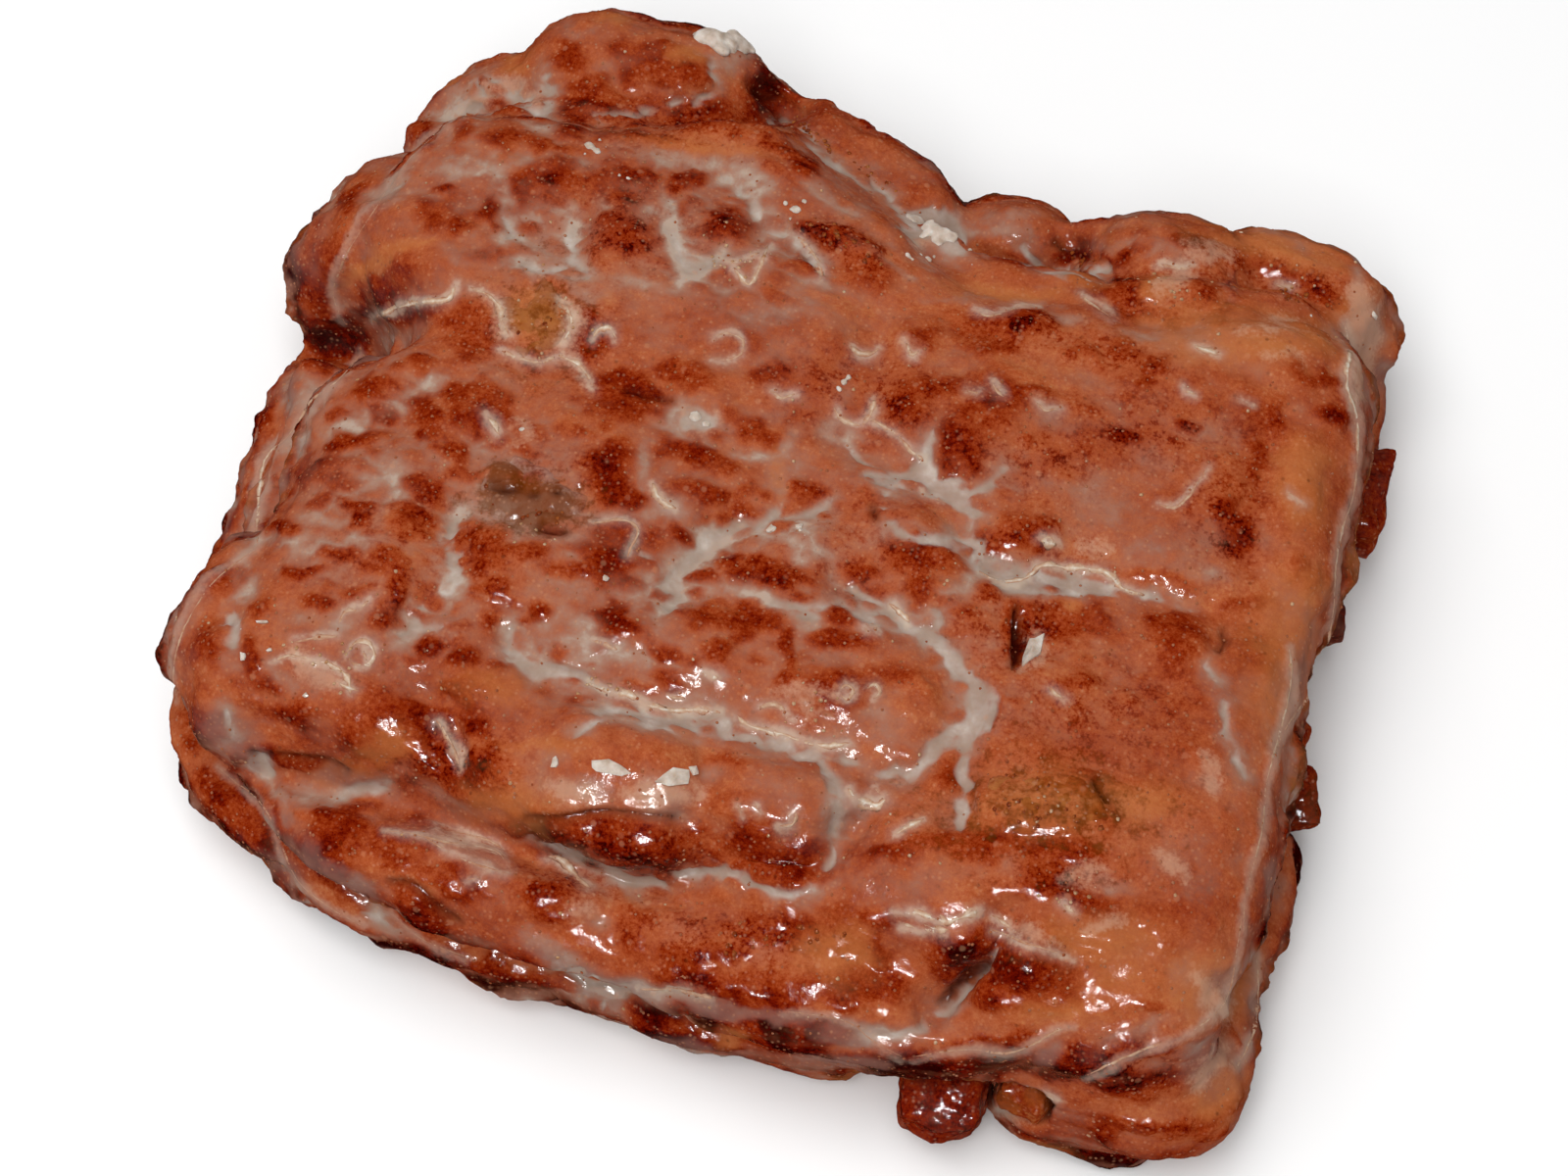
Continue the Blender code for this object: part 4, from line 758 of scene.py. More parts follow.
def surfaceMarks(places, normals, seen):
    # the marks at each place, read from the strokes and ovals where the camera sees it and made up elsewhere
    spots, points = toPixels(places), places / mm
    hidden, seed, far = 1 - seen, crust["seed"], marks["far"]
    waver = np.stack([softNoise(points, 2.6, seed + k) for k in (31, 57)], axis=1) * pixelsPerMm
    wavy, wavyStroke = spots + waver * marks["waver"], spots + waver * marks["strokeWaver"]
    turned = points @ np.array(Matrix.Rotation(math.radians(crust["cellTurn"]), 3, "Z"))
    bent = turned + 0.9 * np.stack([softNoise(points, 3.5, seed + k, 2) for k in (71, 73, 79)], axis=1)
    cellEdge, cellTone = cellPattern(bent, crust["cells"], seed)
    inside = smoothStep(0.05, 0.55, cellEdge)
    mid = softNoise(points, (2.2, 1.6, 1.6), seed + 3)
    wide = softNoise(points, (11, 7, 5), seed + 4, 2)
    streak = softNoise(turned, (9, 1.6, 1.3), seed + 5)
    lumps = softNoise(points, (4.5, 3.0, 3.0), seed + 11, 2)
    # how far a face is a side wall; browning there is painted shade, and the glaze lies thicker
    side = smoothStep(0.62, 0.05, normals[:, 2])
    toEye = np.array(eye) - places
    # browner where the surface turns away from the camera: painted shade towards the silhouette
    edge = smoothStep(0.62, 0.12, np.sum(toEye * normals, axis=1) / np.linalg.norm(toEye, axis=1)) * seen
    web = np.clip(ovalField(spots, webs), 0, 1) * seen + 0.6 * hidden
    fibre = np.clip(ovalField(spots, fibres), 0, 1) * seen + 0.4 * side * hidden
    # browner where the toast ovals lie; those in recesses, the cavity and the gash are painted shade
    toastAndShade = ovalField(wavy, toastsAndShades) * seen + (softNoise(points, (7, 5, 4), seed + 6) * 1.6 + 0.2) * hidden
    film = ovalField(wavy, films) * seen + (streak * 1.1 - 0.2) * hidden
    amber = ovalField(wavy, ambers) * seen + (softNoise(points, 14, seed + 9) - 0.2) * hidden
    ridge = 1 - np.abs(softNoise(points, (13, 9, 8), seed + 15, 2)) * 2.2    # made-up runs of glaze
    poolGap = (strokeGap(wavyStroke, pools) + marks["poolFinger"] * inside) * seen
    poolGap += (smoothStep(1.0, 0.72, ridge) * 4.0 - 0.3 + 0.5 * inside + 0.6 * side) * hidden
    netted = np.clip(web, 0, 1)
    toastAndShadeSoft = smoothStep(-0.42, 0.62, toastAndShade + 0.26 * mid)
    burntAndShadeSoft = smoothStep(0.75, 1.75, toastAndShade + 0.30 * mid)
    filmSoft = smoothStep(-0.40, 0.80, film + 0.22 * mid)
    amberSoft = smoothStep(-0.20, 0.75, amber + 0.25 * mid)
    # a lump of crust that shows through the glaze: the ovals, some of them painted shade in recesses, and the
    # browner half of the small lumps
    roughEdge = cellEdge + 0.10 * mid
    brownCell = smoothStep(0.0, 0.65, roughEdge) * smoothStep(0.40, 0.75, cellTone) * netted * 0.8
    bare = np.maximum(toastAndShadeSoft, brownCell)
    border = smoothStep(0.55, 0.0, roughEdge) * netted * (1 - 0.8 * toastAndShadeSoft)
    browner, thicker, thinner = crust["browner"], crust["thicker"], crust["thinner"]
    paler = crust["amberPaler"] * amberSoft
    # the side and edge terms are painted shade, and the burnt term is partly painted shade in recesses
    tone = (crust["tone"] + browner["bare"] * bare + browner["burnt"] * burntAndShadeSoft + browner["wide"] * wide
            + browner["mid"] * mid + browner["side"] * side + browner["edge"] * edge)
    tone += (browner["cell"] * (cellTone - 0.35) * inside * netted - paler
             + browner["fibre"] * fibre * streak)
    glaze = (crust["glaze"] + thicker["film"] * filmSoft + thicker["border"] * border
             + thicker["pool"] * smoothStep(2.4, -0.2, poolGap))
    glaze += thicker["web"] * netted * (1 - bare) - thinner["bare"] * bare
    glaze += (thicker["side"] * side * (0.6 + streak) - thinner["lumps"] * lumps - paler
              + thicker["fibre"] * fibre * streak)
    found = {
        "tone": tone, "glaze": glaze, "amber": amberSoft, "poolGap": poolGap, "bare": bare,
        "mauve": np.clip(filmSoft * smoothStep(0.85, 0.35, normals[:, 2]), 0, 1),
        "grit": np.clip(ovalField(spots, grits) * 1.6, 0, 1) * seen + 0.6 * hidden,
        # where the cream runs lie, partly painted highlight
        "creamSheenGap": strokeGap(wavyStroke, creamsAndSheens) * seen + far * hidden,
        # where the cream patches lie, partly painted highlight
        "patchSheenGap": strokeGap(wavy, patchesAndSheens) * seen + far * hidden,
        # where the pale glaze edges lie, partly painted reflection
        "rimSheenGap": strokeGap(spots + waver * marks["rimWaver"], rimsAndSheens) * seen + far * hidden,
        # where the slits and creases lie, for the painted shade in them
        "slitShadeGap": strokeGap(spots + waver * marks["slitWaver"], shadedSlits) * seen + far * hidden,
        "olive": ovalField(wavy, olives) * seen - hidden,
    }
    # relief in mm along the normal
    pool = smoothStep(0.35, -0.35, poolGap)
    grain = softNoise(points, (1.5, 1.0, 1.0), seed + 13, 3)
    relief = crust["lumps"] * lumps * (1 - 0.7 * pool) + crust["grain"] * grain * (1 - 0.85 * pool)
    bumps = marks["bumpHeight"] * toastAndShadeSoft * (1 - pool)
    relief += bumps + marks["cellHeight"] * (inside - 0.6) * netted * (1 - pool)
    relief -= marks["poolDepth"] * pool
    cream = marks["creamHeight"] * smoothStep(0.45, -0.1, found["creamSheenGap"])
    relief += cream + marks["rimHeight"] * smoothStep(0.6, 0.0, found["rimSheenGap"])
    relief -= marks["slitDepth"] * smoothStep(0.40, -0.20, found["slitShadeGap"])
    shown = (marks["fibreHeight"] * fibre * streak + swellHeight(spots)) * seen
    relief += shown + (marks["madeUpTop"] * wide + (marks["madeUpSide"] * wide + 0.25 * mid) * side) * hidden
    return found, relief


def evenedOut(mesh, values, rounds):
    # a value at each vertex, spread over its neighbours
    ends = np.zeros(len(mesh.edges) * 2, int)
    mesh.edges.foreach_get("vertices", ends)
    first, second = ends.reshape(-1, 2).T
    count = np.bincount(ends, minlength=len(values))
    for step in range(rounds):
        total = np.bincount(first, values[second], len(values))
        total += np.bincount(second, values[first], len(values))
        values = 0.5 * values + 0.5 * total / count
    return values


def markSkin(made):
    mesh = made.data
    places, normals = readPoints(mesh)
    seen = seenFromCamera(treeOf(mesh), places, normals)
    farSide = evenedOut(mesh, (seen <= 0).astype(float), crust["farSpread"])
    found, relief = surfaceMarks(places, normals, seen)
    found["farSide"] = farSide
    high = places[:, 2] / mm
    raised = relief * smoothStep(0.5, 1.6, high)    # the underside stays flat
    moved = places + normals * (raised * mm)[:, None]
    # the foot of the side that the camera can't see curves in
    behind = moved[:, :2] @ np.array((-math.sin(turn), math.cos(turn))) / np.hypot(moved[:, 0], moved[:, 1])
    tucked = crust["tuck"] * smoothStep(-0.1, 0.6, behind) * smoothStep(crust["tuckHeight"], 0, high) ** 2
    moved[:, :2] *= (1 - tucked)[:, None]
    writePoints(mesh, moved)
    for name, values in found.items():
        writeField(mesh, name, values)
    # far fewer faces where the camera doesn't look
    thinned = made.vertex_groups.new(name="thinned")
    for low, weight in crust["farSteps"]:
        thinned.add(np.flatnonzero(farSide > low).tolist(), weight * crust["thinning"], "REPLACE")
    thinned.add(np.flatnonzero(high < crust["underside"]).tolist(), 1.0, "REPLACE")
    thinner = made.modifiers.new("thinner", "DECIMATE")
    thinner.ratio, thinner.vertex_group = min(1.0, crust["triangles"] / 2 / len(mesh.polygons)), "thinned"
    thinner.vertex_group_factor = 10.0
    plainMesh(made)


def splitSkin(made):
    # the far side and the underside become a piece of their own, with the same normals along the cut
    mesh = made.data
    normals = readPoints(mesh)[1].ravel().astype(np.float32)
    mesh.attributes.new("wholeNormal", "FLOAT_VECTOR", "POINT").data.foreach_set("vector", normals)
    other = newObject("glazedCrustFar", mesh.copy())
    for piece, far in ((made, False), (other, True)):
        shape = bmesh.new()
        shape.from_mesh(piece.data)
        layer = shape.verts.layers.float["farSide"]
        extra = []
        for face in shape.faces:
            onFarSide = sum(v[layer] for v in face.verts) > 0.5 * len(face.verts)
            if onFarSide != far:
                extra.append(face)
        bmesh.ops.delete(shape, geom=extra, context="FACES")
        shape.to_mesh(piece.data)
        shape.free()
        kept = np.zeros(len(piece.data.vertices) * 3, np.float32)
        piece.data.attributes["wholeNormal"].data.foreach_get("vector", kept)
        shadeFaces(piece.data)
        piece.data.normals_split_custom_set_from_vertices(kept.reshape(-1, 3))
        for name in ("wholeNormal", "farSide"):
            piece.data.attributes.remove(piece.data.attributes[name])
        piece.data.calc_loop_triangles()
        print("stage:", piece.name, len(piece.data.loop_triangles), "triangles")
    return made, other


skinPiece = makeSkin()
markSkin(skinPiece)
skinPieces = splitSkin(skinPiece)

batterLook = {
    "tones": ((0.0, "#B66A40"), (0.2, "#AA542E"), (0.38, "#9A401C"), (0.55, "#862808"), (0.72, "#6A1000"),
              (0.88, "#460300"), (1.0, "#2A0100")),
    "glazes": ((0.0, "#B46840"), (0.40, "#AA664A"), (0.68, "#A0705C"), (0.88, "#A68674"), (1.0, "#B4A090")),
    "pools": ((0.25, "#96806F"), (0.46, "#A28E80"), (0.60, "#B0A094"), (0.80, "#CEC4BA")),
    # cream, rim and patch are pale glaze partly painted as highlight and reflection; dark is burnt specks and
    # the painted shade of the slits
    "amber": "#B46A3A", "olive": "#6A340C", "cream": "#CEB8A2", "rim": "#BCA492",
    "speck": "#C88C68", "dark": "#340A04", "mauve": "#7E564E", "patch": "#C49E84",
}


def fillRamp(ramp, stops):
    # puts colour stops into a ramp node, with the colours mixed as light
    elements = ramp.color_ramp.elements
    while len(elements) < len(stops):
        elements.new(0.5)
    for element, (position, colour) in zip(elements, stops):
        element.position, element.color = position, toLinear(colour)


def makeGlazed(name, look):
    # fried food under dried sugar glaze: tone from pale to burnt, glaze from a thin film to milky pools
    made = newMaterial(name)
    tree = made.node_tree
    place = addNode(tree, "ShaderNodeTexCoord", out="Object")
    place = addNode(tree, "ShaderNodeVectorMath", {0: place, "Scale": 1000.0}, operation="SCALE")    # in mm
    fieldNames = ("tone", "glaze", "amber", "olive", "mauve", "grit",
                  "poolGap", "creamSheenGap", "patchSheenGap", "rimSheenGap", "slitShadeGap")
    field = {key: addNode(tree, "ShaderNodeAttribute", out="Fac", attribute_name=key) for key in fieldNames}
    noise, centred = {}, {}
    for key, size, detail, roughness in (    # size in mm
        ("mid", 1.7, 4, 0.6), ("veil", 1.4, 2, 0.5), ("milk", 3.0, 3, 0.5),
        ("fine", 0.45, 3, 0.6), ("dust", 0.18, 2, 0.7),
    ):
        noise[key] = addNode(tree, "ShaderNodeTexNoise", {
            "Vector": place, "Scale": 1 / size, "Detail": detail, "Roughness": roughness})
        centred[key] = addNode(tree, "ShaderNodeMath", {0: noise[key], 1: 0.5}, operation="SUBTRACT")
    # fields made rough by noise
    rough = {}
    for key, sums in (
        ("tone", (("mid", 0.50), ("fine", 0.66), ("dust", 0.40))),
        ("glaze", (("veil", 0.34), ("fine", 0.22))),
        ("poolGap", (("fine", 0.25), ("veil", 0.35))),
        ("creamSheenGap", (("fine", 0.5), ("veil", 1.0))),
        ("rimSheenGap", (("fine", 0.4), ("veil", 1.0))),
        ("slitShadeGap", (("fine", 0.3),)),
        ("olive", (("mid", 2.6), ("fine", 1.0))),
        ("milk", (("fine", 0.15), ("veil", 0.15))),
        ("patchSheenGap", (("fine", 2.2), ("veil", 2.0), ("dust", 0.2))),
    ):
        total = noise["milk"] if key == "milk" else field[key]
        for noiseName, amount in sums:
            total = addNode(tree, "ShaderNodeMath", {
                0: centred[noiseName], 1: amount, 2: total}, operation="MULTIPLY_ADD")
        rough[key] = total
    # rusty grains of crust, with less glaze over them
    grit = addNode(tree, "ShaderNodeMath", {
        0: centred["fine"], 1: 0.9, 2: centred["mid"]}, operation="MULTIPLY_ADD")
    grit = addNode(tree, "ShaderNodeMapRange", {
        "Value": grit, "From Min": -0.02, "From Max": 0.22, "To Max": 0.17}, interpolation_type="SMOOTHSTEP")
    grit = addNode(tree, "ShaderNodeMath", {0: grit, 1: field["grit"]}, operation="MULTIPLY")
    for key, amount in (("tone", 1.0), ("glaze", -1.2)):
        rough[key] = addNode(tree, "ShaderNodeMath", {
            0: grit, 1: amount, 2: rough[key]}, operation="MULTIPLY_ADD")
    # how much of each colour lies over the crust: (mask, field, where it starts, where it's full, most); dark
    # and shade paint shade in and around the slits, and cream, creamSoft, patch and rim are partly painted
    # highlight and reflection on the wet glaze
    masks = {}
    for key, source, low, high, most in (
        ("cover", "glaze", 0.05, 1.00, 0.92), ("pool", "poolGap", 0.42, -0.45, 0.88),
        ("cream", "creamSheenGap", 0.45, -0.35, 0.50), ("creamSoft", "creamSheenGap", 1.2, -0.2, 0.30),
        ("rim", "rimSheenGap", 0.70, -0.40, 0.45), ("dark", "slitShadeGap", 0.20, -0.30, 0.85),
        ("shade", "slitShadeGap", 0.9, 0.0, 0.40), ("olive", "olive", -0.15, 0.70, 0.75),
        ("patch", "patchSheenGap", 0.60, -1.10, 0.48),
    ):
        masks[key] = addNode(tree, "ShaderNodeMapRange", {
            "Value": rough[source], "From Min": low, "From Max": high, "To Max": most,
        }, interpolation_type="SMOOTHSTEP")
    for key, amount in (("amber", 0.58), ("mauve", 0.65)):
        masks[key] = addNode(tree, "ShaderNodeMath", {0: field[key], 1: amount}, operation="MULTIPLY")
    # bubble specks in two sizes and burnt specks: (mask, mm apart, rim, core, least and most strength)
    for key, size, low, high, least, most in (
        ("speck", 0.62, 0.42, 0.10, 0.30, 0.34), ("bubble", 1.7, 0.26, 0.12, 0.60, 0.30),
        ("char", 1.25, 0.26, 0.08, 0.70, 0.55),
    ):
        cells = addNode(tree, "ShaderNodeTexVoronoi", {
            "Vector": place, "Scale": 1 / size, "Randomness": 1.0}, out=None, feature="F1")
        spot = addNode(tree, "ShaderNodeMapRange", {
            "Value": cells.outputs["Distance"], "From Min": low, "From Max": high,
        }, interpolation_type="SMOOTHSTEP")
        pick = addNode(tree, "ShaderNodeSeparateColor", {"Color": cells.outputs["Color"]})
        chosen = addNode(tree, "ShaderNodeMapRange", {
            "Value": pick, "From Min": least, "From Max": 1.0, "To Max": most})
        masks[key] = addNode(tree, "ShaderNodeMath", {0: spot, 1: chosen}, operation="MULTIPLY")
    ramps = {}
    for key, source in (("tones", rough["tone"]), ("glazes", rough["glaze"]), ("pools", rough["milk"])):
        ramp = addNode(tree, "ShaderNodeValToRGB", {"Fac": source}, out=None)
        fillRamp(ramp, look[key])
        ramps[key] = ramp.outputs["Color"]
    tint = ramps["tones"]
    for mask, colour in (    # from the crust outwards
        ("amber", look["amber"]), ("char", look["dark"]), ("cover", ramps["glazes"]),
        ("mauve", look["mauve"]), ("olive", look["olive"]), ("speck", look["speck"]),
        ("shade", look["dark"]), ("creamSoft", ramps["pools"]), ("patch", look["patch"]),
        ("pool", ramps["pools"]), ("rim", look["rim"]), ("cream", look["cream"]),
        ("bubble", look["speck"]), ("dark", look["dark"]),
    ):
        tint = addNode(tree, "ShaderNodeMix", {
            "Factor_Float": masks[mask], "A_Color": tint, "B_Color": colour}, out=2, data_type="RGBA")
    # fine relief: bubbles, grain and dust
    height = addNode(tree, "ShaderNodeMath", {0: noise["fine"], 1: 0.040}, operation="MULTIPLY")
    for socket, amount in ((noise["dust"], 0.007), (masks["speck"], 0.06), (masks["bubble"], 0.10)):
        height = addNode(tree, "ShaderNodeMath", {0: socket, 1: amount, 2: height}, operation="MULTIPLY_ADD")
    calm = addNode(tree, "ShaderNodeMapRange", {"Value": masks["pool"], "To Min": 1.0, "To Max": 0.4})
    height = addNode(tree, "ShaderNodeMath", {0: height, 1: calm}, operation="MULTIPLY")
    bump = addNode(tree, "ShaderNodeBump", {"Height": height, "Strength": 0.9, "Distance": 0.001})
    # pools are duller
    wet = addNode(tree, "ShaderNodeMapRange", {"Value": masks["pool"], "To Min": 0.55, "To Max": 0.15})
    shader = addNode(tree, "ShaderNodeBsdfPrincipled", {
        "Base Color": tint, "Normal": bump, "Coat Normal": bump,
        "Roughness": 0.55, "IOR": 1.45, "Specular IOR Level": 0.0,
        "Subsurface Weight": 0.12, "Subsurface Radius": (1.0, 0.35, 0.15), "Subsurface Scale": 0.0015,
        "Coat Weight": wet, "Coat Roughness": 0.12, "Coat IOR": 1.5,
    })
    addNode(tree, "ShaderNodeOutputMaterial", {"Surface": shader}, out=None)
    return made


batterMaterial = makeGlazed("glazedFriedBatter", batterLook)    # wheat batter fried brown
for piece in skinPieces:
    piece.data.materials.clear()
    piece.data.materials.append(batterMaterial)
    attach(piece, "root")
    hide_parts("fritter_dough")
print("stage: crust material")

# apple: browned pieces that stand out of the dough

apple = {
    "voxel": 0.32,         # mm, how fine the pieces are
    "smoothing": 5,        # rounds of smoothing over the faces of the CAD
    "lump": 0.40,          # mm, height of their lumps
    "seed": 21,
    "tone": {"apple_front": 0.66, "apple_front_small": 0.50, "apple_right": 0.68, "apple_right_small": 0.62,
             "apple_slab_right": 0.62, "apple_side": 0.78},
    "glaze": {"apple_front": 0.12, "apple_front_small": 0.06, "apple_right": 0.08, "apple_right_small": 0.14,
              "apple_slab_right": 0.14, "apple_side": 0.20},
    "amber": {"apple_front_small": 0.7, "apple_right_small": 0.3, "apple_right": 0.25,
              "apple_slice_back": 1.0},
    "grit": 0.2,          # dark grains on a piece that stands out of the side, 0 to 1
    "sink": 0.25,          # mm that a piece in the top is lowered, for an uneven edge under the glaze
}
appleLook = {
    **batterLook,
    "tones": ((0.0, "#AC6C3A"), (0.3, "#985028"), (0.45, "#8A3210"), (0.6, "#781C06"), (0.75, "#5C0C04"),
              (0.9, "#3A0402")),
    "glazes": ((0.0, "#A86C50"), (0.45, "#9E6654"), (0.75, "#A07A6C"), (1.0, "#BCA898")),
    "amber": "#9A5420", "olive": "#6E360C", "speck": "#CC9474", "dark": "#260400",
    # dark: burnt specks and the painted shade of the slits
    "mauve": "#7A5048", "patch": "#C0A088",
}


def makeApplePiece(node):
    made = mergedCopy(node, node.replace("apple", "apple_piece", 1))
    fusedMesh(made, apple["voxel"], apple["smoothing"])
    places, normals = readPoints(made.data)
    inTop = node in crust["glazedOver"]
    found, relief = surfaceMarks(places, normals, np.ones(len(places)) * inTop)
    relief = relief * 0.5 if inTop else np.zeros(len(places))
    relief += softNoise(places / mm, 2.4, apple["seed"], 3) * apple["lump"]
    if not inTop:    # a dice that stands out of the side: dark, with glaze below and on the far face
        mottled = softNoise(places / mm, 3.0, apple["seed"] + 5, 2)
        found["tone"] = apple["tone"][node] + 0.12 * mottled
        low = smoothStep(0.55, 0.0, (places[:, 2] - places[:, 2].min()) / np.ptp(places[:, 2]))
        found["glaze"] = apple["glaze"][node] + 0.38 * low + 0.15 * mottled
        found["amber"] = np.full(len(places), apple["amber"].get(node, 0.0)) * smoothStep(-0.4, 0.4, mottled)
        found["mauve"], found["grit"] = np.zeros(len(places)), np.full(len(places), apple["grit"])
        for name in ("poolGap", "creamSheenGap", "patchSheenGap", "rimSheenGap", "slitShadeGap"):
            found[name] = np.full(len(places), marks["far"])
    elif node in apple["amber"]:
        found["amber"] = np.full(len(places), apple["amber"][node])
    sunk = np.array((0, 0, apple["sink"] * mm * inTop))
    writePoints(made.data, places + normals * (relief * mm)[:, None] - sunk)
    for name, values in found.items():
        writeField(made.data, name, values)
    shadeFaces(made.data)
    return made


appleMaterial = makeGlazed("friedApple", appleLook)    # apple flesh fried brown and wet with glaze
for node in [name for name in frame["nodes"] if name.startswith("apple")]:
    piece = makeApplePiece(node)
    piece.data.materials.clear()
    piece.data.materials.append(appleMaterial)
    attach(piece, "root")
    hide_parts(node)
print("stage: apple")

# everything that lies on the food is set down where the photograph shows it

foodShape = bmesh.new()
for piece in [item for item in scene.objects if item.name.startswith(("glazedCrust", "apple_piece"))]:
    foodShape.from_mesh(piece.data)
foodTree = BVHTree.FromBMesh(foodShape)
foodShape.free()


def onFood(u, v):
    # place and normal of the food at a pixel of the photograph; just off the food it's the nearest inwards
    spot = Vector((u, v))
    inwards = (Vector((picture["width"], picture["height"])) / 2 - spot).normalized()
    mostSteps = 200    # pixels
    for step in range(mostSteps):
        place, normal = foodTree.ray_cast(eye, rayThrough(*(spot + inwards * step)))[:2]
        if place is not None:
            return place, normal


def laidDown(place, normal):
    # the place moved along the normal on to the food
    above, reach = 1.5, 4    # mm
    found = foodTree.ray_cast(place + normal * above * mm, -normal, reach * mm)[0]
    return place if found is None else found


def makeSugar(name, look):
    # dried sugar glaze, crumbs and bubbles: thickness and a soft noise through one ramp of colours
    made = newMaterial(name)
    tree = made.node_tree
    place = addNode(tree, "ShaderNodeTexCoord", out="Object")
    place = addNode(tree, "ShaderNodeVectorMath", {0: place, "Scale": 1000.0}, operation="SCALE")    # in mm
    patch = addNode(tree, "ShaderNodeTexNoise", {"Vector": place, "Scale": 1 / look["patch"], "Detail": 3.0})
    thick = addNode(tree, "ShaderNodeAttribute", out="Fac", attribute_name="thick")
    thick = addNode(tree, "ShaderNodeMath", {0: thick, 1: look["thick"]}, operation="MULTIPLY")
    share = addNode(tree, "ShaderNodeMath", {0: patch, 1: look["mottle"], 2: thick}, operation="MULTIPLY_ADD")
    ramp = addNode(tree, "ShaderNodeValToRGB", {"Fac": share}, out=None)
    fillRamp(ramp, look["stops"])
    grain = addNode(tree, "ShaderNodeTexNoise", {"Vector": place, "Scale": 5.0, "Detail": 3.0})
    bump = addNode(tree, "ShaderNodeBump", {"Height": grain, "Strength": 0.5, "Distance": 0.0001})
    shader = addNode(tree, "ShaderNodeBsdfPrincipled", {
        "Base Color": ramp.outputs["Color"], "Normal": bump, "Roughness": 0.5, "Specular IOR Level": 0.1,
        "Subsurface Weight": look["soft"], "Subsurface Radius": (1.0, 0.6, 0.4), "Subsurface Scale": 0.0008,
        "Coat Weight": look["wet"], "Coat Roughness": 0.12,
    })
    addNode(tree, "ShaderNodeOutputMaterial", {"Surface": shader}, out=None)
    return made


def finishPiece(made, smooth=True):
    # a finished piece rides with the dough
    shadeFaces(made.data, smooth)
    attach(made, "root")
    made.data.calc_loop_triangles()
    print("stage:", made.name, len(made.data.loop_triangles), "triangles")


def newPiece(name, shape, material):
    # an object from a bmesh, facing outwards
    bmesh.ops.recalc_face_normals(shape, faces=shape.faces)
    mesh = bpy.data.meshes.new(name)
    shape.to_mesh(mesh)
    shape.free()
    mesh.materials.append(material)
    return newObject(name, mesh)


# runs of glaze that stand proud, as flat beads along the cream and rim strokes; their pale colour is partly
# painted highlight

runs = {
    "height": 0.07,        # of the half width
    "highest": 0.035,      # mm
    "sunk": 0.03,          # mm that the edges go into the skin
    "spacing": 2.4,        # pixels of the photograph between cross-sections
    "uneven": 1.05,        # share that each edge wanders
    "gap": 1.2,            # mm between two cross-sections that ends a run
    "thickAt": 0.40,       # mm of half width where the glaze looks thick
    "broken": 1.7,         # how often a run dips under the skin
    "cream": 1.2, "rim": 0.6,    # width as a share of the stroke
    "section": (           # (share of the half width, share of the height, how thick it looks)
        (-1, -1, 0), (-0.55, 0.75, 0.45), (0, 1, 1), (0.55, 0.75, 0.45), (1, -1, 0), (0, -3, 0)),
    "seed": 51,
    "look": {"patch": 0.6, "mottle": 0.80, "thick": 0.55, "soft": 0.2, "wet": 0.0, "stops": (
        (0.25, "#A4644A"), (0.50, "#B07C60"), (0.72, "#C09C82"), (0.90, "#D0B8A2"), (1.0, "#DED0C0"))},
}


def addRun(shape, stroke, wide):
    line = smoothStroke(stroke, 12)
    run = np.concatenate([[0], np.cumsum(np.hypot(*np.diff(line[:, :2], axis=0).T))])
    count = max(4, int(run[-1] / runs["spacing"]) + 1)
    line = np.stack([np.interp(np.linspace(0, run[-1], count), run, line[:, k]) for k in range(3)], axis=1)
    hits = [onFood(u, v) for u, v, half in line]
    places = np.array([hit[0] for hit in hits])
    edges = [1 + runs["uneven"] * softNoise(places / mm, 1.1, runs["seed"] + k, 2) for k in (0, 9)]
    # where the crest is below zero the run goes under the skin
    crest = 1 + runs["broken"] * softNoise(places / mm, 1.6, runs["seed"] + 20, 2)
    thick, rings = shape.verts.layers.float["thick"], [[]]
    for index, (place, normal) in enumerate(hits):
        if index and (place - hits[index - 1][0]).length > runs["gap"] * mm:
            rings.append([])    # the run ends where the food falls away under it
        ahead, behind = hits[min(index + 1, count - 1)][0], hits[max(index - 1, 0)][0]
        side = (ahead - behind).cross(normal).normalized()
        tapered = min(1, 0.35 + 0.4 * index, 0.35 + 0.4 * (count - 1 - index))
        half = line[index, 2] / pixelsPerMm * wide * mm * tapered
        height = min(half * runs["height"], runs["highest"] * mm) * crest[index]
        ring = []
        for across, lift, fullness in runs["section"]:
            edge = half * max(0.25, edges[across > 0][index])
            level = height * lift if lift > 0 else runs["sunk"] * mm * lift
            vertex = shape.verts.new(laidDown(place + side * across * edge, normal) + normal * level)
            vertex[thick] = fullness * min(1.0, half / (runs["thickAt"] * mm))
            ring.append(vertex)
        rings[-1].append(ring)
    for group in rings:
        if len(group) < 3:
            bmesh.ops.delete(shape, geom=[vertex for ring in group for vertex in ring], context="VERTS")
            continue
        for first, second in zip(group, group[1:]):
            for k in range(len(first)):
                shape.faces.new((first[k - 1], first[k], second[k], second[k - 1]))
        shape.faces.new(group[0])
        shape.faces.new(group[-1])


def makeRuns():
    shape = bmesh.new()
    shape.verts.layers.float.new("thick")
    for strokes, wide in ((creamsAndSheens, runs["cream"]), (rimsAndSheens, runs["rim"])):
        for stroke in strokes:
            addRun(shape, stroke, wide)
    material = makeSugar("driedGlazeAndSheen", runs["look"])    # icing sugar and water, dried; its pale colour is partly painted highlight
    finishPiece(newPiece("glazeRuns", shape, material))


makeRuns()

# thick lumps, crystals and chips of sugar

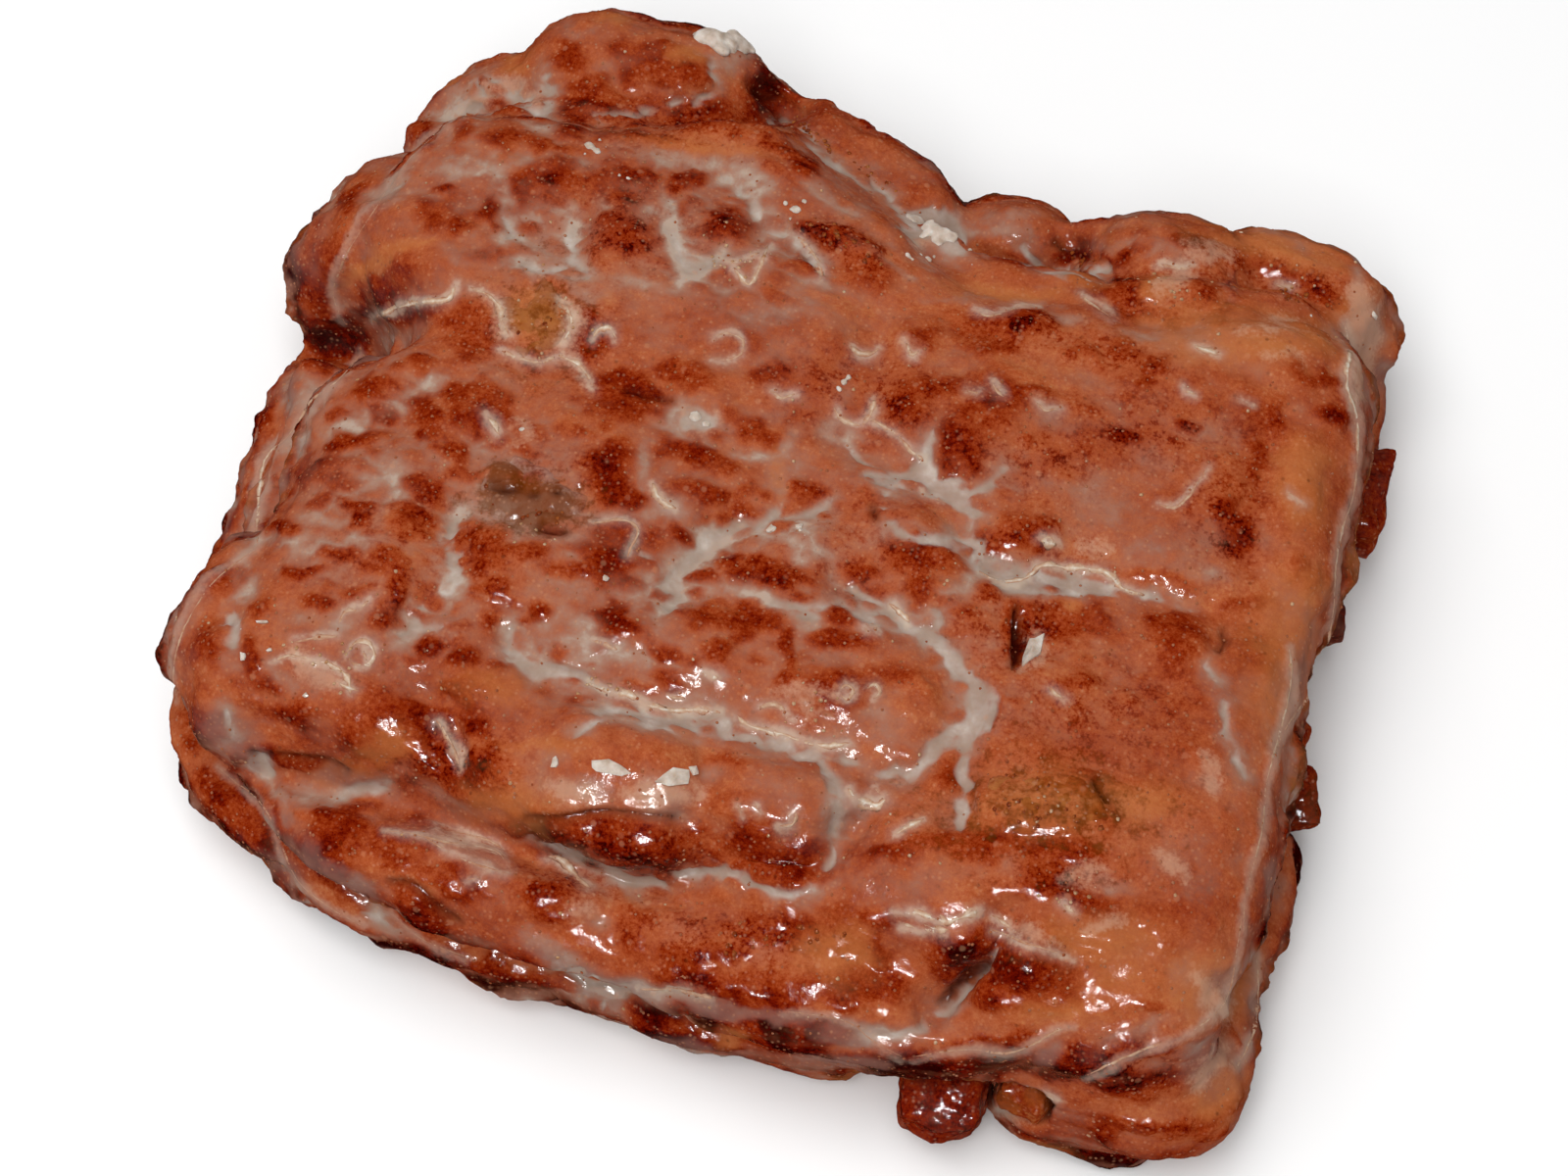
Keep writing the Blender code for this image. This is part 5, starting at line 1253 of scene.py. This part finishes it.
sugar = {
    "lumps": (  # (u, v, radius in pixels, height as a share of the radius)
        (724, 40, 17, 0.5), (734, 47, 14, 0.45), (752, 43, 17, 0.45), (763, 48, 12, 0.4), (742, 44, 15, 0.4),
        (718, 36, 12, 0.4), (926, 261, 4, 0.8), (931, 265, 3, 0.8), (940, 260, 3, 0.9), (947, 265, 5, 0.8),
        (953, 262, 3, 0.8), (990, 255, 3, 1.0), (992, 270, 2, 1.0), (601, 149, 7, 0.3), (609, 154, 5, 0.4),
        (612, 143, 3, 0.8), (597, 157, 3, 0.6), (618, 150, 2, 0.8), (632, 179, 3, 0.6), (641, 182, 4, 0.5),
        (801, 207, 4, 0.5), (812, 214, 7, 0.3), (821, 206, 4, 0.5), (806, 223, 3, 0.6), (790, 540, 4, 0.8),
        (816, 541, 3, 0.9), (821, 546, 2, 0.9), (710, 425, 8, 0.25), (720, 433, 5, 0.3), (866, 385, 4, 0.7),
        (861, 390, 5, 0.5), (856, 397, 4, 0.7), (246, 642, 2, 0.8), (532, 438, 5, 0.3), (1338, 322, 3, 0.6),
        (930, 223, 8, 0.3), (938, 226, 9, 0.3), (946, 230, 9, 0.3), (954, 233, 9, 0.3), (962, 237, 9, 0.3),
        (970, 243, 8, 0.3), (944, 239, 7, 0.3), (956, 244, 8, 0.3),
    ),
    "chips": (  # (u, v, half length, half width, turn)
        (623, 783, 16, 6, 8), (690, 793, 17, 8, -12), (708, 786, 6, 5, 30), (268, 635, 7, 2, 5),
        (248, 670, 4, 5, 0), (275, 664, 3, 2, 0), (312, 710, 3, 3, 0), (786, 541, 4, 5, 20),
        (815, 538, 4, 3, -20), (618, 590, 4, 3, 30), (567, 777, 4, 6, 10), (1402, 322, 5, 3, 40),
        (1054, 662, 19, 7, 112),
    ),
    "uneven": 0.24,        # share that a lump is out of round
    "narrow": 0.85,        # width of a lump as a share of its length
    "corners": 7,          # of a chip
    "outline": (0.65, 0.70),    # least reach of a chip's corners and how much more it may be, as shares
    "chipThickness": 0.13,      # mm
    "chipEdge": 1.6, "chipCrown": 2.6,    # thicknesses that its edge and its middle stand above the food
    "voxel": 0.14, "smoothing": 14,    # mm and rounds, to run the lumps together
    "seed": 63,
    "look": {"patch": 1.1, "mottle": 1.0, "thick": 0.0, "soft": 0.35, "wet": 0.1, "stops": (
        (0.28, "#AE9886"), (0.5, "#C6B6A8"), (0.72, "#DCD2C8"))},
}


def makeLumps():
    shape = bmesh.new()
    for number, (u, v, radius, high) in enumerate(sugar["lumps"]):
        place, normal = onFood(u, v)
        radius = radius / pixelsPerMm * mm
        placed = Matrix.Translation(place) @ normal.to_track_quat("Z", "Y").to_matrix().to_4x4()
        placed = placed @ Matrix.Diagonal((radius, radius * sugar["narrow"], radius * high, 1))
        fineness = 3 if radius > 0.7 * mm else 2
        ball = bmesh.ops.create_icosphere(shape, subdivisions=fineness, radius=1.0, matrix=placed)["verts"]
        shift = softNoise(np.array([v.co for v in ball]) / mm, radius / mm, sugar["seed"] + number, 2)
        for vertex, away in zip(ball, shift):
            vertex.co += (vertex.co - place) * away * sugar["uneven"]
    made = newPiece("sugarLumps", shape, sugarMaterial)
    finishPiece(fusedMesh(made, sugar["voxel"], sugar["smoothing"]))


def makeChips():
    # thin angular flakes that lie on the food
    shape = bmesh.new()
    for number, (u, v, length, width, angle) in enumerate(sugar["chips"]):
        place, normal = onFood(u, v)
        across = (right - normal * right.dot(normal)).normalized()
        down = across.cross(normal)
        c, s = math.cos(math.radians(angle)), math.sin(math.radians(angle))
        thickness, (least, more) = sugar["chipThickness"], sugar["outline"]
        bottom, top = [], []
        for k in range(sugar["corners"]):
            turned, reach = (latticeValue(np.array([(k, number, j)]), sugar["seed"])[0] for j in (5, 3))
            around = 2 * math.pi * (k + turned * 0.6) / sugar["corners"]
            out = least + more * reach
            x, y = math.cos(around) * length * out, math.sin(around) * width * out
            away = (across * (x * c - y * s) + down * (x * s + y * c)) / pixelsPerMm * mm
            spot = laidDown(place + away, normal)
            bottom.append(shape.verts.new(spot - normal * thickness * mm))
            top.append(shape.verts.new(spot + normal * thickness * sugar["chipEdge"] * mm))
        crown = shape.verts.new(laidDown(place, normal) + normal * thickness * sugar["chipCrown"] * mm)
        shape.faces.new(bottom)
        for k in range(sugar["corners"]):
            shape.faces.new((top[k - 1], top[k], crown))
            shape.faces.new((bottom[k - 1], bottom[k], top[k], top[k - 1]))
    finishPiece(newPiece("sugarChips", shape, sugarMaterial), smooth=False)


sugarMaterial = makeSugar("driedIcingSugar", sugar["look"])    # thick white icing, dried
makeLumps()
makeChips()

# bubbles of glaze, crumbs and sugar grains, scattered over the crust by one tree

scattered = {    # size in mm; "all" and "lumps" are shares over the whole crust and on its bare lumps
    "glazeBubbles": {
        "material": "blisteredGlaze",    # skin of glaze over small bubbles of air
        "seed": 5, "perMm2": 0.30, "size": 0.14, "uneven": 0.15, "flatness": 0.5, "all": 0.35, "lumps": 0.7,
        "spots": (),
        "look": {"patch": 3.0, "mottle": 1.0, "thick": 0.0, "soft": 0.2, "wet": 0.25, "stops": (
            (0.3, "#8E4424"), (0.5, "#9C5838"), (0.7, "#AE7658"))},
    },
    "crustCrumbs": {
        "material": "friedBatterCrumb",    # loose bits of the batter, fried brown
        "seed": 6, "perMm2": 2.2, "size": 0.24, "uneven": 0.55, "flatness": 0.6, "all": 0.0, "lumps": 0.0,
        "spots": (  # (u, v, half length, half width, turn, strength)
            (548, 512, 60, 28, 5, 0.9), (1070, 822, 84, 34, 4, 0.4), (860, 246, 60, 16, 22, 0.7),
            (1330, 300, 60, 14, 20, 0.5), (760, 968, 40, 14, 0, 0.6), (1100, 262, 30, 10, 0, 0.8),
            (800, 950, 90, 12, 5, 0.4), (545, 325, 26, 30, 0, 0.5), (850, 150, 90, 10, 35, 0.5)),
        "look": {"patch": 0.8, "mottle": 1.0, "thick": 0.0, "soft": 0.1, "wet": 0.5, "stops": (
            (0.25, "#561806"), (0.5, "#863A14"), (0.7, "#A2602C"))},
    },
    "sugarGrains": {
        "material": "sugarCrystal",    # coarse grains of sugar in the glaze
        "seed": 8, "perMm2": 1.3, "size": 0.17, "uneven": 0.5, "flatness": 0.6, "all": 0.006, "lumps": 0.0,
        "spots": (
            (1200, 290, 40, 26, 0, 0.4), (748, 268, 40, 26, 0, 0.8), (560, 330, 50, 40, 0, 0.6),
            (1310, 284, 60, 20, 14, 0.7), (1085, 824, 70, 28, 4, 0.4), (820, 720, 50, 30, 0, 0.5),
            (330, 670, 70, 30, 0, 0.5), (850, 750, 40, 10, 0, 0.8), (1090, 912, 40, 20, 0, 0.8),
            (540, 540, 50, 20, 10, 0.6), (600, 700, 60, 14, 8, 0.6), (880, 400, 40, 20, 0, 0.4)),
        "look": {"patch": 0.7, "mottle": 1.0, "thick": 0.0, "soft": 0.3, "wet": 0.4, "stops": (
            (0.3, "#A06C44"), (0.5, "#B88C68"), (0.7, "#CCAE92"))},
    },
}
balls = {
    "least": 0.45, "most": 1.5,    # times the size
    "waves": 0.7,                  # dents to a size
    "push": 3.0,                   # how far they go in, times the size and "uneven"
}


def makeScatterTree():
    # small uneven balls set half into the faces, as thick as the attribute "share" says
    tree = bpy.data.node_groups.new("scatterOnCrust", "GeometryNodeTree")
    for name, kind in (("Geometry", "Geometry"), ("PerSquareMetre", "Float"), ("Size", "Float"),
                       ("Uneven", "Float"), ("Flatness", "Float"), ("Seed", "Int"), ("Material", "Material")):
        tree.interface.new_socket(name, in_out="INPUT", socket_type="NodeSocket" + kind)
    tree.interface.new_socket("Geometry", in_out="OUTPUT", socket_type="NodeSocketGeometry")
    given = addNode(tree, "NodeGroupInput", out=None).outputs
    share = addNode(tree, "GeometryNodeInputNamedAttribute", {"Name": "share"}, data_type="FLOAT")
    density = addNode(tree, "ShaderNodeMath", {0: share, 1: given["PerSquareMetre"]}, operation="MULTIPLY")
    spread = addNode(tree, "GeometryNodeDistributePointsOnFaces", {
        "Mesh": given["Geometry"], "Density": density, "Seed": given["Seed"]}, out=None).outputs
    ball = addNode(tree, "GeometryNodeMeshIcoSphere", {"Radius": 1.0, "Subdivisions": 1})
    size = addNode(tree, "FunctionNodeRandomValue", {
        "Min_001": balls["least"], "Max_001": balls["most"], "Seed": given["Seed"]}, out=1, data_type="FLOAT")
    size = addNode(tree, "ShaderNodeMath", {0: size, 1: given["Size"]}, operation="MULTIPLY")
    low = addNode(tree, "ShaderNodeMath", {0: size, 1: given["Flatness"]}, operation="MULTIPLY")
    scale = addNode(tree, "ShaderNodeCombineXYZ", {"X": size, "Y": size, "Z": low})
    placed = addNode(tree, "GeometryNodeInstanceOnPoints", {
        "Points": spread["Points"], "Instance": ball, "Rotation": spread["Rotation"], "Scale": scale})
    whole = addNode(tree, "GeometryNodeRealizeInstances", {"Geometry": placed})
    often = addNode(tree, "ShaderNodeMath", {0: balls["waves"], 1: given["Size"]}, operation="DIVIDE")
    rough = addNode(tree, "ShaderNodeTexNoise", {"Scale": often, "Detail": 1.0}, out="Color")
    rough = addNode(tree, "ShaderNodeVectorMath", {0: rough, 1: (0.5, 0.5, 0.5)}, operation="SUBTRACT")
    push = addNode(tree, "ShaderNodeMath", {0: given["Size"], 1: given["Uneven"]}, operation="MULTIPLY")
    push = addNode(tree, "ShaderNodeMath", {0: push, 1: balls["push"]}, operation="MULTIPLY")
    rough = addNode(tree, "ShaderNodeVectorMath", {0: rough, "Scale": push}, operation="SCALE")
    whole = addNode(tree, "GeometryNodeSetPosition", {"Geometry": whole, "Offset": rough})
    whole = addNode(tree, "GeometryNodeSetMaterial", {"Geometry": whole, "Material": given["Material"]})
    addNode(tree, "NodeGroupOutput", {"Geometry": whole}, out=None)
    return tree


def makeScattered(name, values, tree):
    made = newObject(name, skinPiece.data.copy())
    places, normals = readPoints(made.data)
    spots, seen = toPixels(places), smoothStep(0.0, 0.3, normals @ np.array(back))
    bare = np.zeros(len(places))
    made.data.attributes["bare"].data.foreach_get("value", bare)
    share = values["all"] + values["lumps"] * bare
    share = share + np.clip(ovalField(spots, values["spots"]), 0, 1) * seen
    writeField(made.data, "share", share * smoothStep(1.0, 3.0, places[:, 2] / mm))
    scatter = made.modifiers.new("scatter", "NODES")
    scatter.node_group = tree
    given = {
        "PerSquareMetre": values["perMm2"] / mm ** 2, "Size": values["size"] * mm,
        "Uneven": values["uneven"], "Flatness": values["flatness"], "Seed": values["seed"],
        "Material": makeSugar(values["material"], values["look"]),
    }
    for item in tree.interface.items_tree:
        if item.name in given:
            scatter[item.identifier] = given[item.name]
    finishPiece(plainMesh(made))


scatterTree = makeScatterTree()
for pieceName, pieceValues in scattered.items():
    makeScattered(pieceName, pieceValues, scatterTree)

# studio: pale floor, soft world, two lamps that light the food and two that only show in its wet glaze

studio = {
    "floor": "#FFFFFF", "floorSize": 1.5, "world": "#FFFFFF", "worldStrength": 0.30,
    "lamps": {  # size and distance in m, power in W, angles in degrees
        "glint": {"size": 0.06, "power": 3.4, "elevation": 46.0, "azimuth": 12.0, "distance": 0.75},
        "sheen": {"size": 0.24, "power": 0.8, "elevation": 42.0, "azimuth": 8.0, "distance": 0.75},
        "key": {"size": 0.35, "power": 2.2, "elevation": 55.0, "azimuth": 0.0, "distance": 0.9},
        "fill": {"size": 0.8, "power": 6.8, "elevation": 78.0, "azimuth": -60.0, "distance": 1.0},
    },
    "onlyInGlaze": ("glint", "sheen"),
}


def makeLamp(name, values):
    lamp = bpy.data.lights.new(name + "Lamp", "AREA")
    lamp.size, lamp.energy = values["size"], values["power"]
    made = newObject(name + "Lamp", lamp)
    lift, around = math.radians(values["elevation"]), math.radians(values["azimuth"])
    toward = Vector((math.sin(around) * math.cos(lift), -math.cos(around) * math.cos(lift), math.sin(lift)))
    aimed = toward.to_track_quat("Z", "Y").to_matrix().to_4x4()
    made.matrix_world = Matrix.Translation(toward * values["distance"]) @ aimed
    made.visible_glossy = name in studio["onlyInGlaze"]
    made.visible_diffuse = not made.visible_glossy


def makeStudio():
    shape = bmesh.new()
    bmesh.ops.create_grid(shape, x_segments=1, y_segments=1, size=studio["floorSize"])
    mesh = bpy.data.meshes.new("floor")
    shape.to_mesh(mesh)
    shape.free()
    floor = newObject("floor", mesh)
    paint = newMaterial("studioPaper")    # white paper of a photo studio
    shader = addNode(paint.node_tree, "ShaderNodeBsdfPrincipled", {
        "Base Color": studio["floor"], "Roughness": 0.9})
    addNode(paint.node_tree, "ShaderNodeOutputMaterial", {"Surface": shader}, out=None)
    mesh.materials.append(paint)
    floor.visible_glossy = False    # the wet sides don't mirror it
    world = scene.world or bpy.data.worlds.new("world")
    scene.world = world
    world.use_nodes = True
    world.node_tree.nodes.clear()
    world.cycles_visibility.glossy = False    # only the glint and sheen lamps show in the wet glaze
    sky = addNode(world.node_tree, "ShaderNodeBackground", {
        "Color": studio["world"], "Strength": studio["worldStrength"]})
    addNode(world.node_tree, "ShaderNodeOutputWorld", {"Surface": sky}, out=None)
    for name, values in studio["lamps"].items():
        makeLamp(name, values)
    scene.view_settings.view_transform = "Standard"


makeStudio()
print("stage: studio")
